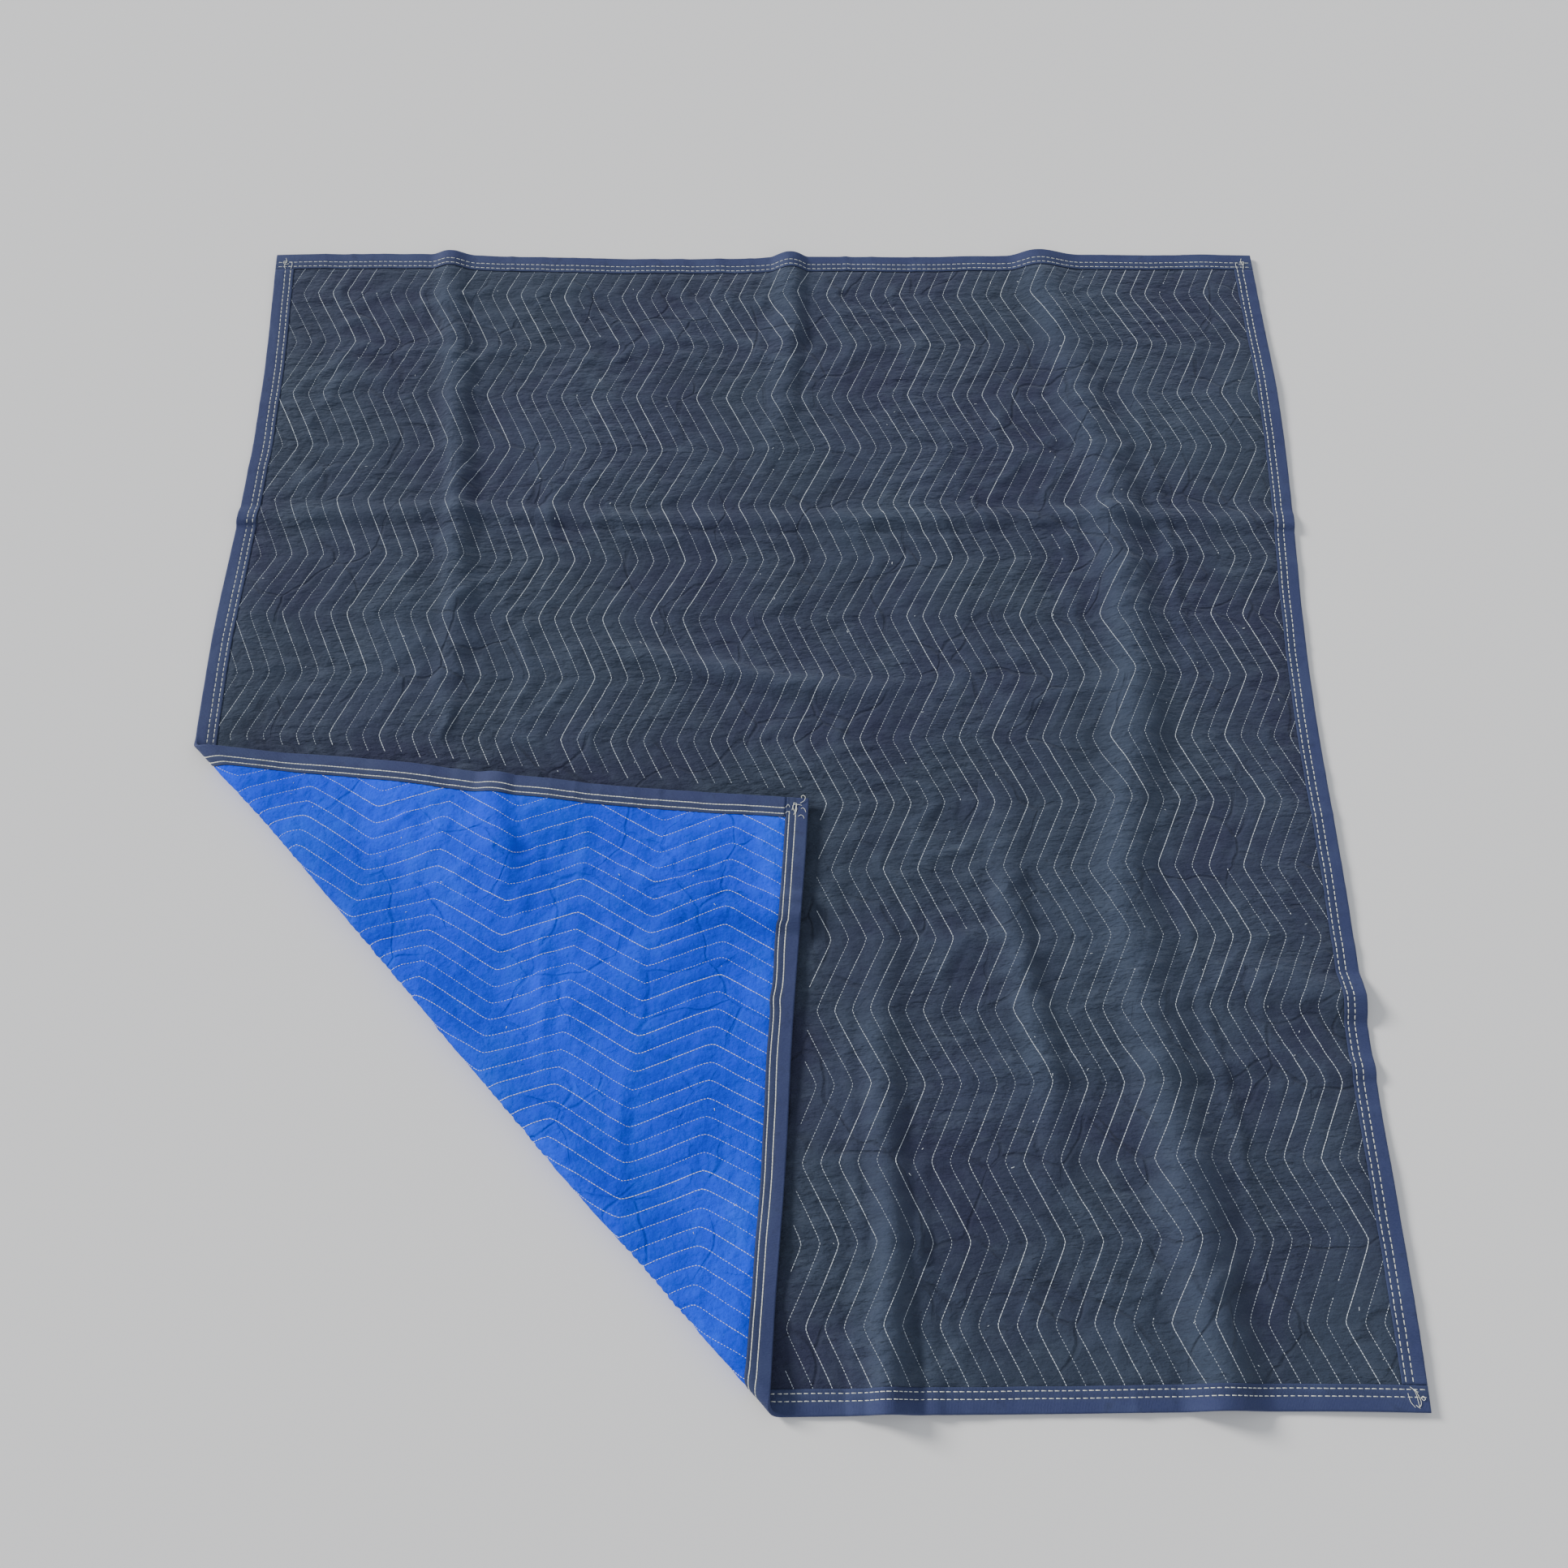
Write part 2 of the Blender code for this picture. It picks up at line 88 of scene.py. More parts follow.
# Each standing fold: whether it runs along u or v, how round its section is, its width before and after its
# crest, and its rows: how far along each is, where the crest is there, and how high.
STANDING_FOLDS = (
    ("v", 2.6, 0.060, 0.085, (
        (EDGE, 1.545, 0.030), (0.35, 1.520, 0.026), (0.75, 1.475, 0.020),
        (1.15, 1.545, 0.024), (1.55, 1.500, 0.022), (LENGTH - EDGE, 1.420, 0.017))),
    ("v", 2.6, 0.045, 0.055, (
        (EDGE, 1.085, 0.028), (0.28, 1.100, 0.024), (0.55, 1.085, 0.015), (0.78, 1.110, 0.0))),
    ("v", 1.5, 0.030, 0.040, (
        (0.30, 1.345, 0.0), (0.48, 1.335, 0.014), (0.72, 1.300, 0.016), (0.95, 1.310, 0.0))),
    ("v", 2.6, 0.040, 0.050, (
        (1.06, 0.420, 0.0), (1.25, 0.400, 0.015), (1.60, 0.360, 0.017), (LENGTH - EDGE, 0.330, 0.012))),
    ("v", 1.5, 0.040, 0.030, ((1.58, 0.920, 0.0), (1.74, 0.950, 0.012), (LENGTH - EDGE, 0.970, 0.014))),
    ("u", 1.5, 0.030, 0.030, (
        (0.62, 1.200, 0.0), (0.78, 1.170, 0.013), (0.98, 1.120, 0.015), (1.20, 1.100, 0.0))),
    ("u", 1.5, 0.040, 0.045, ((1.62, 0.620, 0.0), (1.71, 0.600, 0.012), (WIDTH - EDGE, 0.580, 0.016))),
    ("v", 1.5, 0.045, 0.035, ((EDGE, 0.200, 0.012), (0.18, 0.190, 0.011), (0.36, 0.160, 0.0))),
    ("u", 1.5, 0.030, 0.040, ((EDGE, 0.500, 0.010), (0.15, 0.470, 0.010), (0.27, 0.440, 0.0))),
    # low creases that the blanket keeps from being folded for storage
    ("u", 1.0, 0.012, 0.030, (
        (EDGE, 1.440, 0.007), (0.40, 1.452, 0.009), (0.80, 1.436, 0.008), (1.25, 1.446, 0.009),
        (WIDTH - EDGE, 1.430, 0.006))),
    ("u", 1.0, 0.010, 0.016, (
        (0.30, 1.405, 0.0), (0.62, 1.410, 0.004), (1.10, 1.400, 0.004), (1.35, 1.398, 0.0))),
    ("u", 1.0, 0.016, 0.022, ((1.12, 0.470, 0.0), (1.30, 0.480, 0.005), (WIDTH - EDGE, 0.475, 0.005))),
    # hard creases beside the pleat and the broad ridge
    ("v", 1.0, 0.014, 0.012, (
        (EDGE, 1.040, 0.005), (0.20, 1.056, 0.007), (0.45, 1.046, 0.005), (0.80, 1.070, 0.0))),
    ("v", 1.0, 0.012, 0.016, ((EDGE, 1.150, 0.004), (0.22, 1.140, 0.006), (0.50, 1.155, 0.0))),
    ("v", 1.0, 0.012, 0.014, (
        (0.10, 1.640, 0.0), (0.38, 1.610, 0.006), (0.70, 1.575, 0.005), (0.92, 1.560, 0.0))),
    ("v", 1.0, 0.014, 0.012, (
        (1.05, 1.640, 0.0), (1.30, 1.625, 0.006), (1.62, 1.585, 0.004), (1.80, 1.570, 0.0))),
    # hard creases across the turned corner
    ("v", 1.0, 0.010, 0.014, (
        (EDGE, 0.166, 0.005), (0.16, 0.160, 0.008), (0.30, 0.146, 0.005), (0.43, 0.138, 0.0))),
    ("u", 1.0, 0.012, 0.015, (
        (0.21, 0.404, 0.0), (0.30, 0.392, 0.006), (0.40, 0.372, 0.007), (0.50, 0.350, 0.0))),
    ("u", 1.0, 0.014, 0.012, (
        (0.40, 0.236, 0.0), (0.50, 0.246, 0.006), (0.60, 0.238, 0.005), (0.68, 0.226, 0.0))),
)

# Long waves that the whole cloth lies in: which way it strays, how far, and their length and phase.
WAVES = (
    ("x", 0.007, 1.45, 0.6),
    ("x", 0.003, 0.85, 2.0),
    ("y", 0.006, 1.25, 0.3),
    ("y", 0.003, 0.90, 1.1),
)


def swell(x, y, seed):
    """Smooth noise from about -1 to 1, with about one swell for each unit of x and y."""
    angles = np.random.default_rng(seed).uniform(0, math.tau, (64, 64))
    column, row = np.floor(x).astype(int), np.floor(y).astype(int)
    right, up = x - column, y - row

    def corner(step_x, step_y):
        angle = angles[(column + step_x) % 64, (row + step_y) % 64]
        return np.cos(angle) * (right - step_x) + np.sin(angle) * (up - step_y)

    ease_x, ease_y = (t * t * t * (t * (t * 6 - 15) + 10) for t in (right, up))
    low = corner(0, 0) + ease_x * (corner(1, 0) - corner(0, 0))
    high = corner(0, 1) + ease_x * (corner(1, 1) - corner(0, 1))
    return 1.5 * (low + ease_y * (high - low))


def sway(along, seed):
    """Smooth noise along a line, from about -1 to 1, with about one swell for each unit."""
    return swell(along, along * 0 + 0.5, seed)


def smooth_step(value, start, end):
    """Eases from 0 at start to 1 at end."""
    share = np.clip((value - start) / (end - start), 0, 1)
    return share * share * (3 - 2 * share)


def from_edge(u, v):
    """How far in from the nearest edge of the flat cloth."""
    return np.minimum(np.minimum(u, WIDTH - u), np.minimum(v, LENGTH - v))


def past_fold(u, v):
    """How far this point of the flat cloth is past the fold line, towards the turned corner."""
    return u * TOWARD_CORNER[0] + (v - FOLD_ON_SIDE) * TOWARD_CORNER[1]


def rounded(along, places, values):
    """The value between rows, with the corners at the rows rounded off."""
    steps = np.linspace(-0.08, 0.08, 9)
    weights = np.cos(steps / 0.1 * math.pi / 2)
    spread = [weight * np.interp(along + step, places, values) for step, weight in zip(steps, weights)]
    return sum(spread) / weights.sum()


def fold_height(u, v):
    """How high the standing folds lift the cloth. Near its edges they run straight out."""
    u, v = np.clip(u, EDGE, WIDTH - EDGE), np.clip(v, EDGE, LENGTH - EDGE)
    height = np.zeros_like(u)
    for number, (runs_along, roundness, before, after, rows) in enumerate(STANDING_FOLDS):
        along, across = (u, v) if runs_along == "u" else (v, u)
        places, crests, heights = zip(*rows)
        offset = across - rounded(along, places, crests) - 0.007 * sway(along / 0.16, 20 + number)
        offset = np.clip(np.where(offset < 0, offset / before, offset / after), -1, 1)
        crest = rounded(along, places, heights) * (1 + 0.14 * sway(along / 0.11, 40 + number))
        height = height + crest * (1 - offset**2) ** roundness
    return height


def uncovered(u, v):
    """1 where the lower layer is bare, and 0 where the turned corner lies on it."""
    beyond = past_fold(u, v)
    mirrored_u, mirrored_v = u - 2 * beyond * TOWARD_CORNER[0], v - 2 * beyond * TOWARD_CORNER[1]
    outside = -np.minimum(mirrored_u, mirrored_v)
    return np.where(beyond > 0, 0.0, smooth_step(outside, 0.012, 0.075))


def slack(u, v):
    """The low swells and small angular creases of worn cloth, which lift both layers together.

    The tape stiffens the cloth's edges, so they crease less."""
    turned = smooth_step(past_fold(u, v) + HALF_ROLL, TURNED_LENGTH - 0.03, TURNED_LENGTH + 0.07)
    free = np.maximum(uncovered(u, v), turned)
    u, v = np.clip(u, EDGE, WIDTH - EDGE), np.clip(v, EDGE, LENGTH - EDGE)
    warp_u, warp_v = 0.03 * swell(u / 0.17, v / 0.17, 1), 0.03 * swell(u / 0.17, v / 0.17, 2)
    swells = 0.0042 * np.maximum(0, swell(u / 0.21, v / 0.30, 3) + 0.15)
    swells += 0.0022 * np.maximum(0, swell(u / 0.085, v / 0.12, 4) + 0.1)
    swells += 0.0100 * turned * np.maximum(0, swell(u / 0.22, v / 0.17, 8) + 0.05)
    wide = swell((u + warp_u) / 0.13, (v + warp_v) / 0.085, 5)
    narrow = swell((u + warp_v) / 0.07, (v + warp_u) / 0.05, 6)
    tents = 0.0042 * np.clip(1 - np.abs(wide) / 0.22, 0, 1) ** 1.3
    tents += 0.0027 * np.clip(1 - np.abs(narrow) / 0.25, 0, 1)
    where = 0.35 + 0.65 * smooth_step(swell(u / 0.35, v / 0.35, 7), -0.35, 0.35)
    limp = 0.3 + 0.7 * smooth_step(from_edge(u, v), EDGE, 2.6 * EDGE)
    return free * (swells + tents * where * limp)


def roll_section(run, radius):
    """How far across the fold the cloth's middle has come after this run, how high it is, and its slope."""
    drop = radius * (1 + math.cos(ROLL_OVERTURN)) - EASE_RADIUS * (1 - math.cos(ROLL_OVERTURN)) - FLAP_RISE
    pieces = (  # how long each is, and how it bends
        (radius * (math.pi + ROLL_OVERTURN), 1 / radius),
        (drop / math.sin(ROLL_OVERTURN), None),
        (EASE_RADIUS * ROLL_OVERTURN + 0 * run, -1 / EASE_RADIUS),
    )
    across, left = np.minimum(run, 0.0), np.maximum(run, 0.0)
    height, slope = 0 * run, 0 * run
    for length, bend in pieces:
        part = np.minimum(left, length)
        left = left - part
        if bend is None:
            across, height = across + part * np.cos(slope), height + part * np.sin(slope)
            continue
        turned = slope + part * bend
        across = across + (np.sin(turned) - np.sin(slope)) / bend
        height = height + (np.cos(slope) - np.cos(turned)) / bend
        slope = turned
    return across + left * np.cos(slope), height + left * np.sin(slope), slope


def laid(u, v, w):
    """Where these points of the flat cloth lie, w above its middle, as rows of x, y and z."""
    u, v, w = np.broadcast_arrays(np.asarray(u, float), np.asarray(v, float), np.asarray(w, float))
    beyond = past_fold(u, v)
    along = u * ALONG_FOLD[0] + (v - FOLD_ON_SIDE) * ALONG_FOLD[1]
    radius = ROLL_RADIUS * (1 + ROLL_UNEVENNESS * sway(along / 0.24, 11))
    across, height, slope = roll_section(beyond + HALF_ROLL, radius)
    across = across - HALF_ROLL - np.sin(slope) * w
    x = TOWARD_CORNER[0] * across + ALONG_FOLD[0] * along
    y = FOLD_ON_SIDE + TOWARD_CORNER[1] * across + ALONG_FOLD[1] * along
    shift = {"x": 0.0, "y": 0.0}
    for way, size, length, phase in WAVES:
        shift[way] = shift[way] + size * np.sin(math.tau * (y if way == "x" else x) / length + phase)
    z = TAPE_OUTSIDE + height + np.cos(slope) * w + fold_height(u, v) + slack(u, v)
    return np.stack([x + shift["x"], y + shift["y"], z], axis=-1)


def outline_middle():
    """The middle of the laid cloth's outline, in plan."""
    left, right, bottom, top = -TAPE_EDGE, WIDTH + TAPE_EDGE, -TAPE_EDGE, LENGTH + TAPE_EDGE
    u, v = np.linspace(left, right, 400), np.linspace(bottom, top, 400)
    edges = [laid(u, bottom, 0), laid(u, top, 0), laid(left, v, 0), laid(right, v, 0)]
    points = np.concatenate(edges)[:, :2]
    return (points.min(axis=0) + points.max(axis=0)) / 2


cad_middle = (np.array(cad_box[0]) + np.array(cad_box[1]))[:2] / 2
ON_FRAME = (*(cad_middle - outline_middle()), 0.0)


def zigzag(v):
    """How far right of their middles the quilting lines are."""
    swing = np.arcsin(ZIGZAG_ROUNDING * np.cos(math.tau * v / ZIGZAG_PERIOD)) / math.asin(ZIGZAG_ROUNDING)
    return ZIGZAG_WIDTH / 2 * swing


def line_wander(u, v):
    """How far the quilting strays to one side, as the machine's feed slipped."""
    return 0.0013 * swell(u / 0.25, v / 0.09, 12) + 0.0016 * swell(u / 0.6, v / 0.4, 13)


# The grid of both cloths follows the quilting lines, and has rows of its own where the tape ends.
COLUMN_PHASES = np.array((0.0, 0.10, 0.27, 0.50, 0.73, 0.90))
ROW_STEP = ZIGZAG_PERIOD / 24
LINES_BEYOND = math.ceil(ZIGZAG_WIDTH / LINE_PITCH) + 1
LINE_NUMBERS = np.arange(-LINES_BEYOND, math.ceil(WIDTH / LINE_PITCH) + LINES_BEYOND)
BY_THE_TAPE = np.array((0.0335, 0.0375, 0.0430))
even_rows = np.arange(0.0, LENGTH - 0.045, ROW_STEP)
even_rows = even_rows[(even_rows < 0.030) | (even_rows > 0.045)]
ROWS = np.sort(np.concatenate([even_rows, BY_THE_TAPE, LENGTH - BY_THE_TAPE, (LENGTH - 0.017, LENGTH)]))

phases = np.add.outer(LINE_NUMBERS, COLUMN_PHASES).ravel()
PHASE, GRID_V = np.meshgrid(phases, ROWS, indexing="ij")
GRID_U = PHASE * LINE_PITCH + zigzag(GRID_V)
GRID_U = np.clip(GRID_U + line_wander(GRID_U, GRID_V), 0.0, WIDTH)


def face_thickness(u, v, relief):
    """Of the cloth on one side of the middle. It is pressed thin under the tape, and flat close to it."""
    inset = from_edge(u, v)
    bare = smooth_step(inset, TAPE_WIDTH - 0.001, TAPE_WIDTH + 0.003)
    flat = SEWN_DOWN + (SEAM_THICKNESS - SEWN_DOWN) * bare
    return flat + relief * smooth_step(inset, TAPE_WIDTH, TAPE_WIDTH + 0.009)


def puff(phase):
    """How full the quilting is, from 0 at a line of stitching to 1 between two."""
    return 1 - np.abs(2 * (phase % 1) - 1) ** 2.4


def crumple(u, v, seed):
    """Fine crinkles of the cloth itself between the lines, in metres."""
    warp = 0.5 * swell(u / 0.07, v / 0.05, seed + 3)
    sharp = 1 - np.abs(swell(u / 0.075 + warp, v / 0.026 + warp, seed)) / 0.5
    fine = swell(u / 0.022, v / 0.019 + warp, seed + 1)
    patch = smooth_step(swell(u / 0.20, v / 0.24, seed + 2), -0.35, 0.45)
    return patch * (0.0023 * np.clip(sharp, 0, 1) + 0.0006 * fine)


def marked_mesh(name, points, faces, marks):
    """A smooth mesh whose points carry these marks, each a number or a vector for every point."""
    mesh = bpy.data.meshes.new(name)
    mesh.from_pydata(points, [], faces)
    for mark, values in marks.items():
        kind, field = ("FLOAT", "value") if values.ndim == 1 else ("FLOAT_VECTOR", "vector")
        mesh.attributes.new(mark, kind, "POINT").data.foreach_set(field, values.astype(np.float32).ravel())
    mesh.shade_smooth()
    return mesh


def placed(name, mesh):
    """A new object of this mesh in the scene."""
    piece = bpy.data.objects.new(name, mesh)
    bpy.context.collection.objects.link(piece)
    return piece


def quilted_cloth(name, grid_points, face_up, marks):
    """The grid of a quilted cloth as one piece. marks are what its material reads at each point."""
    columns, rows = GRID_U.shape
    # Columns past either side edge are merged into it, row by row, so that the grid ends straight.
    first = (GRID_U <= 0).cumsum(axis=0).max(axis=0) - 1
    last = columns - (GRID_U >= WIDTH).sum(axis=0)
    column = np.clip(np.arange(columns)[:, None], first[None, :], last[None, :])
    index = column * rows + np.arange(rows)[None, :]
    corners = [index[:-1, :-1], index[1:, :-1], index[1:, 1:], index[:-1, 1:]]
    if not face_up:
        corners = [corners[number] for number in (0, 3, 2, 1)]
    quads = np.stack(corners, axis=-1).reshape(-1, 4)
    used = np.unique(quads)
    kept = [list(dict.fromkeys(quad)) for quad in np.searchsorted(used, quads).tolist()]
    marks = {mark: values.ravel()[used] for mark, values in marks.items()}
    faces = [quad for quad in kept if len(quad) > 2]
    return placed(name, marked_mesh(name, grid_points.reshape(-1, 3)[used], faces, marks))


SHOWN = uncovered(GRID_U, GRID_V)
navy_crumple = crumple(GRID_U, GRID_V, 60) * SHOWN
fullness = 0.85 + 0.15 * swell(GRID_U / 0.03, GRID_V / 0.05, 14)
navy_puff = (CREST_THICKNESS - SEAM_THICKNESS) * fullness * puff(PHASE)
NAVY_W = HALF_GAP + face_thickness(GRID_U, GRID_V, navy_puff + navy_crumple)
NAVY_POINTS = laid(GRID_U, GRID_V, NAVY_W) + ON_FRAME

# lighter where the cloth stands higher on its folds and swells: partly worn fuzz on the crests, partly
# painted highlight
wear_and_highlight = np.clip(fold_height(GRID_U, GRID_V) / 0.02 + slack(GRID_U, GRID_V) / 0.006, 0, 1.5)
navy_face = quilted_cloth("navy_face", NAVY_POINTS, True, {"raised": wear_and_highlight})


class Surface:
    """A new material, with short ways to add the nodes that cloth and thread need."""

    def __init__(self, name):
        self.material = bpy.data.materials.new(name)
        self.material.use_nodes = True
        self.nodes, self.links = self.material.node_tree.nodes, self.material.node_tree.links
        self.shader = self.nodes["Principled BSDF"]
        self.place = self.node("TexCoord").outputs["Object"]

    def node(self, kind, inputs=None, **settings):
        """A new node. Each of its inputs is given a value, or another node's output."""
        node = self.nodes.new("ShaderNode" + kind)
        for name, value in settings.items():
            setattr(node, name, value)
        self.fill(node, inputs or {})
        return node

    def fill(self, node, inputs):
        for name, value in inputs.items():
            if isinstance(value, bpy.types.NodeSocket):
                self.links.new(value, node.inputs[name])
            else:
                node.inputs[name].default_value = value

    def mark(self, name):
        return self.node("Attribute", attribute_name=name).outputs["Fac"]

    def noise(self, scale, detail, low, high, stretch=(1, 1, 1), place=None):
        """Noise of about this many swells a metre, as a factor that rises from 0 at low to 1 at high."""
        mapping = self.node("Mapping", {"Vector": place or self.place, "Scale": stretch})
        noise = self.node("TexNoise", {
            "Vector": mapping.outputs["Vector"], "Scale": scale, "Detail": detail, "Roughness": 0.6})
        return self.eased(noise.outputs["Fac"], low, high)

    def eased(self, value, start, end):
        """A factor that rises from 0 where the value is at start to 1 where it is at end."""
        inputs = {"Value": value, "From Min": start, "From Max": end}
        return self.node("MapRange", inputs, interpolation_type="SMOOTHSTEP").outputs["Result"]

    def times(self, factor, other):
        return self.node("Math", {0: factor, 1: other}, operation="MULTIPLY").outputs["Value"]

    def lifted(self, factor, floor):
        """The factor squeezed into the span from floor to 1."""
        return self.node("MapRange", {"Value": factor, "To Min": floor}).outputs["Result"]

    def hairlines(self, scale, width):
        """0 along fine angular creases, which come in patches, and 1 away from them."""
        warp = self.node("TexNoise", {"Vector": self.place, "Scale": scale * 1.2, "Detail": 1})
        bent = self.node("Mix", {"Factor": 0.07, 4: self.place, 5: warp.outputs["Color"]}, data_type="VECTOR")
        inputs = {"Vector": bent.outputs[1], "Scale": scale}
        cells = self.node("TexVoronoi", inputs, feature="DISTANCE_TO_EDGE")
        away = self.eased(cells.outputs["Distance"], 0.0, width * scale)
        inputs = {0: away, 1: self.noise(scale * 0.6, 2, 0.42, 0.54)}
        return self.node("Math", inputs, operation="MAXIMUM").outputs["Value"]

    def over(self, factor, below, above):
        """The colour above laid over the one below by this factor. Each is a colour or a node's output."""
        below, above = ((*tone, 1.0) if isinstance(tone, tuple) else tone for tone in (below, above))
        return self.node("Mix", {"Factor": factor, 6: below, 7: above}, data_type="RGBA").outputs[2]

    def tinted(self, colour, *layers):
        """The colour with layers laid over it, each a factor, how much of it, and the layer's colour."""
        for factor, amount, tone in layers:
            colour = self.over(self.times(factor, amount), colour, tone)
        return colour

    def finished(self, colour, bumps, **surface):
        """The material, once it has its colour, its surface and its bumps: heights, how high, how strong."""
        normal = None
        for height, distance, strength in bumps:
            bump = self.node("Bump", {"Height": height, "Distance": distance, "Strength": strength})
            if normal:
                self.links.new(normal, bump.inputs["Normal"])
            normal = bump.outputs["Normal"]
        inputs = {name.replace("_", " "): value for name, value in surface.items()}
        self.fill(self.shader, {"Metallic": 0.0, "Specular IOR Level": 0.25, "Base Color": colour, **inputs})
        if normal:
            self.links.new(normal, self.shader.inputs["Normal"])
        return self.material


def navy_cloth():
    cloth = Surface("navy_cloth")
    patches = cloth.noise(5, 2, 0.42, 0.60)
    streaks = cloth.noise(30, 3, 0.54, 0.74, (0.8, 2.0, 1.0))
    creases = cloth.hairlines(8.5, 0.0038)
    colour = cloth.over(cloth.noise(2.6, 2, 0.38, 0.62), (0.0190, 0.0210, 0.0530), (0.0240, 0.0340, 0.0585))
    colour = cloth.tinted(
        colour,
        # lighter on the raised folds and swells: partly worn fuzz, partly painted highlight
        (cloth.mark("raised"), 0.42, (0.050, 0.069, 0.112)),
        (cloth.noise(26, 6, 0.40, 0.80, (1.0, 1.5, 1.0)), 0.32, (0.064, 0.084, 0.120)),  # frosting of fuzz
        (cloth.times(streaks, patches), 0.30, (0.080, 0.103, 0.144)),
        (cloth.noise(1500, 2, 0.42, 0.70), 0.28, (0.083, 0.103, 0.142)),  # single fibres
        (cloth.noise(90, 4, 0.60, 0.78), 0.4, (0.008, 0.010, 0.018)),  # grime
    )
    # painted shade: the fine creases are darkened in the colour, as if shade lay in them
    colour = cloth.over(cloth.lifted(creases, 0.78), (0.006, 0.008, 0.015), colour)
    wrinkles = cloth.noise(26, 3, 0.30, 0.70, (0.8, 2.0, 1.0))
    bumps = (
        (cloth.times(wrinkles, cloth.lifted(patches, 0.30)), 0.0070, 0.6),
        (cloth.noise(95, 4, 0.25, 0.75, (1.0, 1.8, 1.0)), 0.0020, 0.6),
        (creases, 0.0026, 0.7),
        (cloth.noise(900, 3, 0.2, 0.8), 0.0004, 0.7),  # the felt's own grain
    )
    return cloth.finished(
        colour, bumps, Roughness=0.94,
        Sheen_Weight=0.13, Sheen_Roughness=0.45, Sheen_Tint=(0.62, 0.70, 0.88, 1.0))


navy_face.data.materials.append(navy_cloth())
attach(navy_face, "root")
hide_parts("face_navy")

# ---- Blue back ----
# The lower cloth: the same nonwoven in royal blue, brushed and pilled to lighter patches. It shows on the
# turned corner, round the roll of the fold, and from underneath, where it lies pressed on the floor.

INTO_ROLL = past_fold(GRID_U, GRID_V) + HALF_ROLL  # how far past the start of the fold's roll
blue_crumple = crumple(GRID_U, GRID_V, 80) * smooth_step(INTO_ROLL, 0.0, 0.03)
blue_puff = (TAPE_OUTSIDE - HALF_GAP - SEAM_THICKNESS) * puff(PHASE)
BLUE_W = HALF_GAP + face_thickness(GRID_U, GRID_V, blue_puff + blue_crumple)
BLUE_POINTS = laid(GRID_U, GRID_V, -BLUE_W) + ON_FRAME
BLUE_POINTS[..., 2] = np.maximum(BLUE_POINTS[..., 2], 0.0)
blue_back = quilted_cloth("blue_back", BLUE_POINTS, False, {})


def blue_cloth():
    cloth = Surface("blue_cloth")
    creases = cloth.hairlines(9.5, 0.0038)
    colour = cloth.over(cloth.noise(4, 2, 0.36, 0.64), (0.0035, 0.040, 0.660), (0.0045, 0.062, 0.950))
    colour = cloth.tinted(
        colour,
        (cloth.noise(6.5, 4, 0.46, 0.70, (1.0, 0.7, 1.0)), 0.36, (0.014, 0.135, 1.0)),  # brushed patches
        (cloth.noise(30, 6, 0.40, 0.80), 0.35, (0.010, 0.112, 0.970)),  # frosting of fuzz
        (cloth.noise(260, 3, 0.60, 0.74), 0.35, (0.035, 0.175, 0.970)),  # pills
        (cloth.noise(150, 3, 0.66, 0.76), 0.7, (0.003, 0.024, 0.320)),  # specks
        (cloth.noise(1400, 2, 0.42, 0.70), 0.20, (0.020, 0.135, 0.950)),  # single fibres
    )
    # painted shade: the fine creases are darkened in the colour, as if shade lay in them
    colour = cloth.over(cloth.lifted(creases, 0.82), (0.001, 0.018, 0.280), colour)
    bumps = (
        (cloth.noise(26, 3, 0.30, 0.70), 0.0045, 0.5),
        (cloth.noise(80, 4, 0.25, 0.75), 0.0018, 0.55),
        (creases, 0.0020, 0.7),
        (cloth.noise(850, 3, 0.2, 0.8), 0.0004, 0.7),  # the felt's own grain
    )
    return cloth.finished(
        colour, bumps, Roughness=0.92, Specular_IOR_Level=0.12,
        Sheen_Weight=0.035, Sheen_Roughness=0.45, Sheen_Tint=(0.25, 0.50, 1.0, 1.0))


blue_back.data.materials.append(blue_cloth())
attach(blue_back, "root")
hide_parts("back_blue")

# ---- Binding ----
# Strips of woven polyester tape in faded indigo, folded in half round each edge and sewn down through all
# layers. The hem's and the top's run to the corners, over the ends of the side strips.

TAPE_GAP = 0.0004
TAPE_INSIDE = 0.00145  # from the cloth's middle to the tape's inner face
SEWN_AT = (0.028, 0.018)  # the two rows of stitching, in from the cloth's edge
STATION_STEP = 0.004
NAVY_SIDE_RISE = 0.00035
HEM_SEED, TOP_SEED, LEFT_SEED, RIGHT_SEED = 100, 120, 140, 160
SPLICE = (0.192, 0.209)  # where the hem's tape ends and the next length laps over it
SPLICE_SLOPE = 0.002


def tape_stray(along, seed):
    """How far the sewing strays inwards. On the hem it steps at a splice, and swerves once further on."""
    from_corner = np.minimum(along, (WIDTH if seed < LEFT_SEED else LENGTH) - along)
    stray = 0.0009 * sway(along / 0.09, seed + 2) * smooth_step(from_corner, 0.035, 0.090)
    if seed == HEM_SEED:
        stray = stray + 0.0024 * (smooth_step(along, 0.205, 0.214) - smooth_step(along, 0.225, 0.300))
        stray = stray + 0.0022 * np.exp(-(((along - 0.330) / 0.014) ** 2))
    return stray


